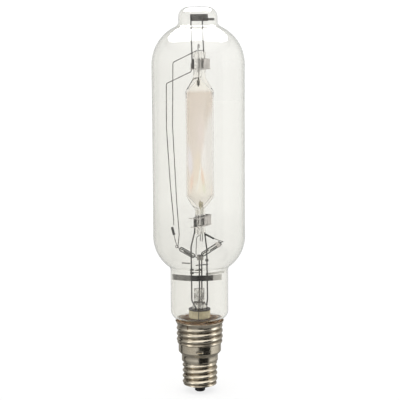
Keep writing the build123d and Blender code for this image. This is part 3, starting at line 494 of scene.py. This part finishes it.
def mattBody(name, look):
    mat, shader = startMaterial(name)
    links = mat.node_tree.links
    tones, grain = look["tones"], look["grain"]
    places = [0.28 + 0.44 * i / (len(tones) - 1) for i in range(len(tones))]
    tone = rampOn(mat, noiseOn(mat, grain, 6.0), list(zip(places, tones)))
    links.new(tone, shader.inputs["Base Color"])
    links.new(rangeOn(mat, noiseOn(mat, grain * 0.4), *look["roughness"]), shader.inputs["Roughness"])
    bumpOn(mat, shader, noiseOn(mat, grain * 3), look["bump"], distance=0.0003)
    return mat


# painted shade: the bead of cement is darkened outwards, between these radii, to dim its lit outer face
beadShade = {"span": (0.0236, 0.0250), "shade": [(0.0, (1.0, 1.0, 1.0)), (1.0, (0.46, 0.48, 0.52))]}


def shadeBead(mat, look):
    shader = mat.node_tree.nodes["Principled BSDF"]
    tone = shader.inputs["Base Color"].links[0].from_socket
    # painted shade: darker towards the outer face of the bead
    shade = rampOn(mat, rangeOn(mat, radiusOn(mat), 0.0, 1.0, *look["span"]), look["shade"])
    mat.node_tree.links.new(mixOn(mat, 1.0, tone, shade, "MULTIPLY"), shader.inputs["Base Color"])


finishes["cap_nickel"] = nickelPlate(capLook)
for slotName, mattLook in mattLooks.items():
    finishes[slotName] = mattBody(slotName, mattLook)
shadeBead(finishes["cement"], beadShade)
print("finishes:", len(finishes))

for entry in frame["record"]["subparts"]:
    dressNode(entry["node"], finishes[entry["material_slot"]])


# the front strip round the neck: its colour changes along its length, darkest across the middle
strip = {
    "span": (-0.030, 0.026), "rub": 0.35,
    "tones": [
        (0.02, (0.20, 0.195, 0.185)), (0.34, (0.23, 0.225, 0.215)),
        (0.385, (0.022, 0.021, 0.020)), (0.60, (0.018, 0.017, 0.016)),
        (0.635, (0.06, 0.058, 0.055)), (0.79, (0.075, 0.072, 0.068)),
        (0.815, (0.46, 0.45, 0.43)), (0.98, (0.55, 0.54, 0.51)),
    ],
}


def bandedStrip(look):
    mat = wornMetal("banded_strip", metalLooks["spring_steel"])
    shader = mat.node_tree.nodes["Principled BSDF"]
    grain = shader.inputs["Base Color"].links[0].from_socket
    along = rangeOn(mat, partsOn(mat)["X"], 0.0, 1.0, *look["span"])
    tone = mixOn(mat, look["rub"], rampOn(mat, along, look["tones"]), grain, "SOFT_LIGHT")
    mat.node_tree.links.new(tone, shader.inputs["Base Color"])
    return mat


dressNode("front_spring", bandedStrip(strip))

# pieces whose metal differs from the rest of their slot; salts that ran down crust the tungsten
ownMetals = [
    {
        "name": "bright_strip", "slot": "spring_steel", "nodes": ["back_spring"],
        "dark": (0.46, 0.45, 0.42), "mid": (0.62, 0.605, 0.575), "light": (0.74, 0.725, 0.69),
    },
    {
        "name": "bracket_steel", "slot": "dark_steel", "nodes": ["starter_bracket"], "grain": 420.0,
        "dark": (0.10, 0.095, 0.09), "mid": (0.32, 0.31, 0.29), "light": (0.56, 0.54, 0.51),
    },
    # painted shade: the foot plate is nearly black, so that the inside of the cup reads as shaded
    {
        "name": "foot_shade_steel", "slot": "dark_steel", "nodes": ["foot_plate"], "grain": 300.0,
        "dark": (0.012, 0.010, 0.009), "mid": (0.030, 0.025, 0.022), "light": (0.075, 0.062, 0.053),
    },
    {
        "name": "salty_tungsten", "slot": "tungsten", "nodes": ["lower_electrode", "starting_probe"],
        "dark": (0.36, 0.34, 0.25), "mid": (0.58, 0.55, 0.43), "light": (0.74, 0.71, 0.58),
    },
]
for own in ownMetals:
    ownMetal = wornMetal(own["name"], {**metalLooks[own["slot"]], **own})
    for node in own["nodes"]:
        dressNode(node, ownMetal)
print("dressed:", len(nodes), "CAD nodes")


# outer bulb: one blown wall, drawn outside and inside and spun
bulb = {
    "length": 430.0, "radius": 51.1, "wall": 1.4, "dome": 45.0, "domeHeight": 367.6,
    "nipple": 21.6, "crown": 1.4, "nippleCorner": 11.5, "nippleFillet": 6.0,
    "shoulder": 42.0, "shoulderHeight": 178.0, "neck": 32.2, "neckFillet": 7.0,
    "neckBottom": 94.0, "neckCorner": 10.5, "throat": 23.2, "throatTop": 74.0, "throatEnd": 62.0, "steps": 192,
}


def bulbOutline(inset):
    crown = bulb["length"] - inset
    nipple = bulb["nipple"] - inset
    corner = bulb["nippleCorner"] - inset
    body = bulb["radius"] - inset
    dome = bulb["dome"] - inset
    domeX = body - dome
    foot = bulb["nippleFillet"] + inset
    shoulder = bulb["shoulder"] - inset
    shoulderX = body - shoulder
    neck = bulb["neck"] - inset
    bend = bulb["neckFillet"] + inset
    heel = bulb["neckCorner"] - inset
    throat = bulb["throat"] - inset
    rise = bulb["nipple"] ** 2 / (2 * bulb["crown"])  # radius of the nearly flat crown
    flat = nipple - corner
    points = [(flat * i / 12, crown - (flat * i / 12) ** 2 / (2 * rise)) for i in range(12)]
    cornerZ = crown - flat**2 / (2 * rise) - corner
    points += arcRun(flat, cornerZ, corner, 90 - math.degrees(flat / rise), 0, 16)
    footX = nipple + foot
    footZ = bulb["domeHeight"] + math.sqrt((dome + foot) ** 2 - (footX - domeX) ** 2)
    lean = math.degrees(math.atan2(footZ - bulb["domeHeight"], footX - domeX))
    points += arcRun(footX, footZ, foot, 180, 180 + lean, 8)
    points += arcRun(domeX, bulb["domeHeight"], dome, lean, 0, 40)[1:]
    side = bulb["domeHeight"] - bulb["shoulderHeight"]
    points += [(body, bulb["domeHeight"] - side * i / 24) for i in range(1, 24)]
    bendX = neck + bend
    bendZ = bulb["shoulderHeight"] - math.sqrt((shoulder + bend) ** 2 - (bendX - shoulderX) ** 2)
    dip = math.degrees(math.atan2(bendZ - bulb["shoulderHeight"], bendX - shoulderX))
    points += arcRun(shoulderX, bulb["shoulderHeight"], shoulder, 0, dip, 30)
    points += arcRun(bendX, bendZ, bend, 180 + dip, 180, 14)[1:]
    points += [(neck, bendZ - (bendZ - bulb["neckBottom"]) * i / 8) for i in range(1, 8)]
    heelX = neck - heel
    tuck = math.degrees(math.acos((throat - heelX) / heel))
    points += arcRun(heelX, bulb["neckBottom"], heel, 0, -tuck, 18)
    points += [(throat, bulb["throatTop"]), (throat, bulb["throatEnd"])]
    return points


bulbMesh = spinOutline(bulbOutline(0) + bulbOutline(bulb["wall"])[::-1], bulb["steps"], False)
openRim = [e for e in bulbMesh.edges if e.is_boundary]
bmesh.ops.bridge_loops(bulbMesh, edges=openRim)
bmesh.ops.recalc_face_normals(bulbMesh, faces=bulbMesh.faces)
outerBulb = finishPiece("outerBulb", bulbMesh, finishes["bulb_glass"], ["outer_bulb"])
outerBulb.visible_shadow = False  # clear glass: the soft boxes reach the pieces inside


# screw cap: rolled sheet spun from its outline, with the thread run up it as a helix
cap = {
    "pitch": 6.35, "screwCrest": 19.7, "screwRoot": 17.75, "screwFirst": 11.55, "screwRows": 76,
    "skirtCrest": 26.0, "skirtRoot": 24.5, "skirtFirst": 60.6, "skirtRows": 58, "runOut": 2.6,
    "screwZone": (8.6, 35.2), "skirtZone": (57.0, 77.6), "slack": 0.02,
    "band": 23.85, "bandFoot": 47.2, "bandRow": 0.4, "bandRows": 22,
    "foot": [(16.4, 7.95), (16.9, 7.9), (17.5, 8.1)],
    "collar": [(19.9, 35.6), (20.3, 36.1), (20.3, 39.5), (20.3, 42.8)],
    "flare": [(20.7, 43.5), (22.1, 45.0), (23.45, 46.5)],
    "bandHead": [(23.95, 56.2)],
    "rim": [(25.5, 78.3), (26.1, 79.5), (26.8, 80.8), (27.2, 81.6), (27.1, 81.9), (26.8, 82.0)],
    "inside": [
        (26.5, 81.8), (25.9, 80.6), (24.9, 78.6), (24.1, 76.6), (23.9, 75.6), (23.9, 59.0), (23.25, 58.0),
        (23.25, 47.3), (19.7, 43.3), (19.7, 36.0), (17.15, 35.0), (17.15, 9.95), (16.35, 8.35),
    ],
    "crimpHeight": 49.6, "crimpWidth": 3.7, "crimpRise": 2.7, "crimpDepth": 0.75,
    "crimpEdge": 2.2, "crimpFade": 0.55, "steps": 240,
    "slits": (-121.0, -31.0, 59.0, 149.0), "slitHalf": 1.5, "slitZone": (76.0, 80.3),
}


def threadRun(zone, radius, count):
    low, high = zone
    return [(radius, low + (high - low) * i / count) for i in range(count + 1)]


def capOutline():
    screwMid = (cap["screwCrest"] + cap["screwRoot"]) / 2
    skirtMid = (cap["skirtCrest"] + cap["skirtRoot"]) / 2
    band = [(cap["band"], cap["bandFoot"] + cap["bandRow"] * i) for i in range(cap["bandRows"])]
    lower = cap["foot"] + threadRun(cap["screwZone"], screwMid, cap["screwRows"])
    middle = cap["collar"] + cap["flare"] + band + cap["bandHead"]
    upper = threadRun(cap["skirtZone"], skirtMid, cap["skirtRows"]) + cap["rim"] + cap["inside"]
    return lower + middle + upper


def turnThread(bm, zone, first, root, crest):
    low, high = zone
    mid, amp = (root + crest) / 2, (crest - root) / 2
    for v in bm.verts:
        x, y, z = v.co / mm
        r = math.hypot(x, y)
        if low - cap["slack"] <= z <= high + cap["slack"] and abs(r - mid) < cap["slack"]:
            turn = math.atan2(y, x) / (2 * math.pi) - 0.5
            runOut = smoothStep((z - low) / cap["runOut"]) * smoothStep((high - z) / cap["runOut"])
            swell = math.cos(2 * math.pi * ((z - first) / cap["pitch"] - turn))
            r += amp * runOut * swell
            v.co.x, v.co.y = v.co.x / mid * r, v.co.y / mid * r


def pressCrimp(bm):
    for v in bm.verts:
        x, y, z = v.co / mm
        r = math.hypot(x, y)
        if y < 0 and abs(r - cap["band"]) < cap["slack"]:
            across = x / cap["crimpWidth"]
            up = (z - cap["crimpHeight"]) / cap["crimpRise"]
            inside = 1 - across**2 - up**2
            if up >= -cap["slack"] and inside > 0:
                depth = cap["crimpDepth"] * min(1.0, inside * cap["crimpEdge"]) * (1 - cap["crimpFade"] * up)
                v.co.x, v.co.y = v.co.x * (r - depth) / r, v.co.y * (r - depth) / r


def cutSlits(bm):
    low, high = cap["slitZone"]
    for azimuth in cap["slits"]:
        window = []
        for f in bm.faces:
            x, y, z = f.calc_center_median() / mm
            off = (math.degrees(math.atan2(y, x)) - azimuth + 180) % 360 - 180
            if abs(off) < cap["slitHalf"] and low < z < high and math.hypot(x, y) > 20:
                window.append(f)
        bmesh.ops.delete(bm, geom=window, context="FACES")
        bmesh.ops.bridge_loops(bm, edges=[e for e in bm.edges if e.is_boundary])
    bmesh.ops.recalc_face_normals(bm, faces=bm.faces)


capMesh = spinOutline(capOutline(), cap["steps"], True)
turnThread(capMesh, cap["screwZone"], cap["screwFirst"], cap["screwRoot"], cap["screwCrest"])
turnThread(capMesh, cap["skirtZone"], cap["skirtFirst"], cap["skirtRoot"], cap["skirtCrest"])
pressCrimp(capMesh)
cutSlits(capMesh)
finishPiece("capShell", capMesh, finishes["cap_nickel"], ["cap_shell"], 40)


# basing cement: a ring between glass and cap, with the uneven bead that was squeezed up under the glass
# its outline has the ring first and then the bead; waves: count, size and start of each ripple in the bead
paste = {
    "outline": [
        (23.36, 62.0), (23.86, 62.0), (23.86, 75.5), (24.06, 76.7), (24.86, 78.8), (25.8, 80.7), (26.1, 81.5),
        (26.0, 82.2), (25.5, 82.75), (24.8, 83.1), (24.1, 83.2), (23.6, 83.1), (23.36, 82.7), (23.36, 75.0),
    ],
    "steps": 180, "lump": 0.22, "sink": 1.2, "beadFrom": 81.0, "beadSoft": 1.5,
    "waves": [(7, 1.0, 0.0), (17, 0.8, 1.3), (41, 0.6, 0.4)],
}
pasteMesh = spinOutline(paste["outline"], paste["steps"], True)
for v in pasteMesh.verts:
    x, y, z = v.co / mm
    if z > paste["beadFrom"]:
        turn = math.atan2(y, x)
        rise = sum(size * math.sin(count * turn + start) for count, size, start in paste["waves"])
        swell = smoothStep((z - paste["beadFrom"]) / paste["beadSoft"])
        v.co.z += paste["lump"] * mm * (rise - paste["sink"]) * swell
finishPiece("cementRing", pasteMesh, finishes["cement"], ["basing_cement"], 60)


# arc tube: loops that go from a round tube to a flat pinch with beaded edges
# pinch: distance from the cone and shrink of each loop
arcTube = {
    "x": 1.4, "radius": 15.25, "wall": 1.5, "bottom": 223.0, "top": 338.6, "cone": 15.6, "coneDeep": 3.4,
    "bead": 3.0, "beadCentre": 5.5, "web": 2.0, "lowerTurn": 60.0, "upperTurn": 45.0, "sides": 96, "rows": 12,
    "lowerEase": 1.25, "upperEase": 1.0, "flatFrom": 0.75, "flatOver": 0.35,
    "pinch": [(1.5, 1.0), (4, 1.0), (10, 1.0), (16, 1.0), (22, 1.0), (25.4, 1.0), (26.4, 0.985), (27.0, 0.90)],
    "cavityTip": [(0, 0), (1.4, 0), (2.6, 0.5)], "cavityFoot": (3.6, 1.6), "cavityGap": 3.0, "cavityEdge": 0.4,
}


def pinchSpot(across):
    reach = arcTube["bead"] + arcTube["beadCentre"]
    along = reach * math.cos(across)
    off = abs(along) - arcTube["beadCentre"]
    bead = math.sqrt(max(0.0, arcTube["bead"] ** 2 - off**2))
    half = max(bead, arcTube["web"]) if off < 0 else bead
    return along, math.copysign(half, math.sin(across))


def tubeLoop(bm, z, turn, flat, wide, deep, shrink=1.0):
    made = bmesh.ops.create_circle(bm, segments=arcTube["sides"], radius=1.0)["verts"]
    cosTurn, sinTurn = math.cos(math.radians(turn)), math.sin(math.radians(turn))
    for v in made:
        angle = math.atan2(v.co.y, v.co.x)
        px, py = pinchSpot(angle)
        u = (wide * math.cos(angle) * (1 - flat) + px * flat) * shrink
        w = (deep * math.sin(angle) * (1 - flat) + py * flat) * shrink
        v.co = Vector((arcTube["x"] + u * cosTurn - w * sinTurn, u * sinTurn + w * cosTurn, z)) * mm
    return list({e for v in made for e in v.link_edges})


def tubeEnd(turn, rim, way, power):
    a = arcTube
    reach = a["bead"] + a["beadCentre"]
    levels = []
    for i in range(a["rows"] + 1):  # shoulder and cone
        t = i / a["rows"]
        ease = t**power
        wide = a["radius"] + (reach - a["radius"]) * ease
        deep = a["radius"] + (a["coneDeep"] - a["radius"]) * ease
        flat = smoothStep((t - a["flatFrom"]) / a["flatOver"])
        levels.append((rim + way * a["cone"] * t, turn, flat, wide, deep))
    for step, shrink in a["pinch"]:
        levels.append((rim + way * a["cone"] + way * step, turn, 1.0, reach, a["coneDeep"], shrink))
    return levels


def arcTubeMesh():
    bm = bmesh.new()
    a = arcTube
    levels = tubeEnd(a["lowerTurn"], a["bottom"], -1, a["lowerEase"])[::-1]
    for i in range(1, a["rows"]):
        t = i / a["rows"]
        z = a["bottom"] + (a["top"] - a["bottom"]) * t
        lean = a["lowerTurn"] + (a["upperTurn"] - a["lowerTurn"]) * t
        levels.append((z, lean, 0.0, a["radius"], a["radius"]))
    levels += tubeEnd(a["upperTurn"], a["top"], 1, a["upperEase"])
    loops = [tubeLoop(bm, *level) for level in levels]
    for lower, upper in zip(loops, loops[1:]):
        bmesh.ops.bridge_loops(bm, edges=lower + upper)
    for ends in (loops[0], loops[-1]):
        bmesh.ops.contextual_create(bm, geom=ends)
    bmesh.ops.recalc_face_normals(bm, faces=bm.faces)
    return bm


def cavityOutline(inset):
    a = arcTube
    bore = a["radius"] - a["wall"] - inset
    footX, footZ = a["cavityFoot"]
    low = a["bottom"] - a["cone"] + a["cavityGap"] + inset
    high = a["top"] + a["cone"] - a["cavityGap"] - inset
    lowRim, highRim = a["bottom"] + footZ, a["top"] - footZ  # the straight bore lies between these
    lowFoot, highFoot = low + footZ, high - footZ
    lowEdge, highEdge = a["bottom"] + a["cavityEdge"], a["top"] - a["cavityEdge"]
    points = [(r, low + z) for r, z in a["cavityTip"]] + [(footX - inset, lowFoot)]
    for t in (0.25, 0.5, 0.75, 0.94):
        points.append((footX + (bore - footX) * t, lowFoot + (lowEdge - lowFoot) * t))
    points += [(bore, lowRim + (highRim - lowRim) * i / 20) for i in range(21)]
    for t in (0.06, 0.25, 0.5, 0.75):
        points.append((bore + (footX - bore) * t, highEdge + (highFoot - highEdge) * t))
    points += [(footX - inset, highFoot)] + [(r, high - z) for r, z in a["cavityTip"][::-1]]
    return points


tubeMesh = arcTubeMesh()
cavity = spinOutline(cavityOutline(0), arcTube["sides"], False, arcTube["x"])
bmesh.ops.reverse_faces(cavity, faces=cavity.faces)  # the bore's faces look into the bore
boreMesh = bpy.data.meshes.new("arcTubeBore")
cavity.to_mesh(boreMesh)
cavity.free()
tubeMesh.from_mesh(boreMesh)
finishPiece("arcTubeQuartz", tubeMesh, finishes["quartz"], ["arc_tube"], 50)


# salt film left on the bore, thin and streaky, with a pale coat on the ends
film = {
    "pink": (0.86, 0.68, 0.57), "beige": (0.83, 0.69, 0.53), "pale": (0.90, 0.85, 0.77),
    "cream": (1.0, 0.97, 0.90), "roughness": 0.7, "driftScale": 34.0, "streakScale": 60.0,
    "thin": 0.0, "thick": 0.10, "streak": (0.35, 0.6), "coat": 0.03,
    "upperCoat": (0.3375, 0.3395), "lowerCoat": (0.214, 0.232), "gap": 0.08,
}


def saltFilm(look):
    mat, shader = startMaterial("salt_film")
    links = mat.node_tree.links
    shader.inputs["Roughness"].default_value = look["roughness"]
    drift = noiseOn(mat, look["driftScale"], 3.0, (1, 1, 0.22), (0.0, 0.0, 0.3), 0.6)
    tone = rampOn(mat, drift, [(0.32, look["pink"]), (0.5, look["beige"]), (0.68, look["pale"])])
    height = partsOn(mat)["Z"]
    upperCoat = rangeOn(mat, height, 0.0, 1.0, *look["upperCoat"])
    lowerCoat = rangeOn(mat, height, 1.0, 0.0, *look["lowerCoat"])
    coat = mathOn(mat, "MAXIMUM", upperCoat, lowerCoat)
    links.new(mixOn(mat, coat, tone, look["cream"]), shader.inputs["Base Color"])
    runs = noiseOn(mat, look["streakScale"], 4.0, (1, 1, 0.1), (0.2, 0.1, 0.0), 0.4)
    streak = rangeOn(mat, runs, look["thin"], look["thick"], *look["streak"])
    links.new(mixOn(mat, coat, streak, look["coat"], kind="FLOAT"), shader.inputs["Alpha"])
    return mat


filmMesh = spinOutline(cavityOutline(film["gap"]), arcTube["sides"], False, arcTube["x"])
finishPiece("saltFilm", filmMesh, saltFilm(film), [], 60)


# studio: a world that the glass mirrors, soft boxes, floor, backdrop and flags
# each zone of the world has a glow and the span of one direction over which it comes in
zones = {
    "side": 0.34, "back": 1.15, "backSpan": (0.93, 0.985), "rear": 0.45, "rearSpan": (0.03, 0.16),
    "front": 0.6, "frontSpan": (-0.9, 0.1), "right": 0.3, "rightSpan": (0.72, 0.93),
    "sky": 0.9, "skySpan": (0.5, 0.9), "below": 0.55, "belowSpan": (-0.7, -0.2), "tint": (1.0, 1.0, 0.995),
}


def studioWorld(look):
    world = bpy.data.worlds.new("studio")
    scene.world = world
    world.use_nodes = True
    x, y, z = partsOn(world, "Generated")
    soft = "SMOOTHSTEP"
    lobe = rangeOn(world, y, look["side"], look["back"], *look["backSpan"], soft)  # bright behind the lamp
    rear = rangeOn(world, z, 1.0, look["rear"], *look["rearSpan"])  # up to a little above it
    fill = rangeOn(world, y, look["front"], look["side"], *look["frontSpan"])  # brighter towards the camera
    window = rangeOn(world, x, 0.0, look["right"], *look["rightSpan"], soft)  # a pale wall on the right
    sky = rangeOn(world, z, 0.0, look["sky"], *look["skySpan"], soft)
    under = rangeOn(world, z, look["below"], 1.0, *look["belowSpan"], soft)
    wall = mathOn(world, "MAXIMUM", mathOn(world, "MULTIPLY", lobe, rear), fill)
    lit = mathOn(world, "ADD", mathOn(world, "ADD", wall, window), sky)
    background = world.node_tree.nodes["Background"]
    background.inputs["Color"].default_value = (*look["tint"], 1)
    world.node_tree.links.new(mathOn(world, "MULTIPLY", lit, under), background.inputs["Strength"])


boxes = {
    "crownBox": {
        "shape": "ELLIPSE", "size": (2.5, 2.04), "place": (0.0, 0.60, 1.5), "aim": (0, 0.60, 0), "glow": 7.5,
    },
    "leftBox": {
        "shape": "RECTANGLE", "size": (0.7, 1.6), "place": (-1.6, -1.1, 0.55), "aim": (0, 0, 0.2), "glow": 1.5,
    },
    "rightBox": {
        "shape": "RECTANGLE", "size": (0.6, 1.6), "place": (1.7, -0.25, 0.55), "aim": (0, 0, 0.2), "glow": 1.4,
    },
}


def softbox(name, box):
    light = bpy.data.lights.new(name, "AREA")
    light.shape = box["shape"]
    light.size, light.size_y = box["size"]
    light.energy = box["glow"] * math.pi * box["size"][0] * box["size"][1]
    lamp = bpy.data.objects.new(name, light)
    lamp.location = box["place"]
    lamp.rotation_euler = (Vector(box["aim"]) - Vector(box["place"])).to_track_quat("-Z", "Y").to_euler()
    scene.collection.objects.link(lamp)
    return lamp


def stageMesh(name, bm, mat):
    mesh = bpy.data.meshes.new(name)
    bm.to_mesh(mesh)
    bm.free()
    mesh.materials.append(mat)
    piece = bpy.data.objects.new(name, mesh)
    scene.collection.objects.link(piece)
    return piece


def stagePlane(name, size, place, turn, mat):
    bm = bmesh.new()
    bmesh.ops.create_grid(bm, x_segments=1, y_segments=1, size=0.5)
    bmesh.ops.scale(bm, vec=(*size, 1), verts=bm.verts)
    bmesh.ops.transform(bm, matrix=Matrix.Translation(place) @ turn.to_matrix().to_4x4(), verts=bm.verts)
    plane = stageMesh(name, bm, mat)
    return plane


# the floor glows a little more outside the span of radius than inside it
floorLook = {
    "size": 9.0, "dark": (0.24, 0.24, 0.2375), "light": (0.26, 0.26, 0.2575), "grain": 3.0, "roughness": 0.9,
    "near": 0.79, "far": 0.90, "span": (0.95, 1.35),
}


def paleFloor(look):
    mat, shader = startMaterial("pale_floor")
    tone = rampOn(mat, noiseOn(mat, look["grain"], 3.0), [(0.3, look["dark"]), (0.7, look["light"])])
    mat.node_tree.links.new(tone, shader.inputs["Base Color"])
    shader.inputs["Roughness"].default_value = look["roughness"]
    shader.inputs["Emission Color"].default_value = (1, 1, 1, 1)
    deep = rangeOn(mat, radiusOn(mat), look["near"], look["far"], *look["span"])
    mat.node_tree.links.new(deep, shader.inputs["Emission Strength"])
    return mat


backdrop = {"radius": 4.4, "foot": -0.02, "head": 3.0, "steps": 96, "tone": (0.02, 0.02, 0.02), "glow": 1.1}


def backdropRing(look):
    mat, shader = startMaterial("backdrop")
    shader.inputs["Base Color"].default_value = (*look["tone"], 1)
    shader.inputs["Emission Color"].default_value = (1, 1, 1, 1)
    shader.inputs["Emission Strength"].default_value = look["glow"]
    bm = bmesh.new()
    foot = bm.verts.new((look["radius"], 0, look["foot"]))
    head = bm.verts.new((look["radius"], 0, look["head"]))
    bmesh.ops.spin(
        bm, geom=[foot, head, bm.edges.new((foot, head))], cent=(0, 0, 0), axis=(0, 0, 1),
        angle=math.tau, steps=look["steps"], use_merge=True)
    ring = stageMesh("backdrop", bm, mat)
    ring.visible_glossy = False  # seen directly and through the glass, and mirrored by nothing
    ring.visible_diffuse = False
    ring.visible_shadow = False


# black cards that only reflections show: azimuth, width and height of the top edge
# the low one is low enough for the cap alone to mirror it
flags = {
    "away": 1.2, "tall": 2.4, "tone": (0.01, 0.01, 0.01),
    "cards": {"rightFlag": (40.0, 0.95, 1.2), "leftFlag": (-116.0, 0.35, 1.2), "lowFlag": (6.0, 0.62, -0.02)},
}


def flagCards(look):
    mat, shader = startMaterial("black_flag")
    shader.inputs["Base Color"].default_value = (*look["tone"], 1)
    shader.inputs["Roughness"].default_value = 1.0
    for name, (azimuth, width, top) in look["cards"].items():
        turn = math.radians(azimuth)
        place = Vector((math.sin(turn), -math.cos(turn), 0.0)) * look["away"]
        facing = (-place).to_track_quat("Z", "Y")
        place.z = top - look["tall"] / 2
        flag = stagePlane(name, (width, look["tall"]), place, facing, mat)
        flag.visible_camera = False
        flag.visible_diffuse = False
        flag.visible_transmission = False
        flag.visible_shadow = False


studioWorld(zones)
crownBox, leftBox, rightBox = [softbox(name, box) for name, box in boxes.items()]
floor = stagePlane("floor", (floorLook["size"],) * 2, (0, 0, 0), Quaternion(), paleFloor(floorLook))
floor.visible_glossy = False
backdropRing(backdrop)
flagCards(flags)

# the round box overhead draws the highlight on the dome and lights nothing else
bulbOnly = bpy.data.collections.new("bulbOnly")
bulbOnly.objects.link(outerBulb)
crownBox.light_linking.receiver_collection = bulbOnly
crownBox.visible_diffuse = crownBox.visible_transmission = False

# the side boxes leave no streaks on the bulb and no pools of light on the floor
offBulb = bpy.data.collections.new("offBulb")
for thing in (outerBulb, floor):
    offBulb.objects.link(thing)
for entry in offBulb.collection_objects:
    entry.light_linking.link_state = "EXCLUDE"
for lamp in (leftBox, rightBox):
    lamp.visible_transmission = False
    lamp.light_linking.receiver_collection = offBulb
print("studio: world, 3 soft boxes, floor, backdrop, 3 flags")

# camera
view = {"distance": 1.42, "tilt": 8.7, "aim": (0.0012, 0.0, 0.218), "lens": 115.4, "roll": -0.34}
cameraData = bpy.data.cameras.new("camera")
cameraData.lens = view["lens"]
cameraData.sensor_width = 36.0
cameraData.clip_end = 50.0
camera = bpy.data.objects.new("camera", cameraData)
tilt = math.radians(view["tilt"])
back = Vector((0, -math.cos(tilt), math.sin(tilt)))
camera.location = Vector(view["aim"]) + back * view["distance"]
facing = (-back).to_track_quat("-Z", "Y") @ Quaternion((0, 0, 1), math.radians(view["roll"]))
camera.rotation_euler = facing.to_euler()
scene.collection.objects.link(camera)
scene.camera = camera
scene.view_settings.view_transform = "Standard"
scene.cycles.max_bounces = 32
scene.cycles.transmission_bounces = 32
scene.cycles.transparent_max_bounces = 32
scene.cycles.glossy_bounces = 12
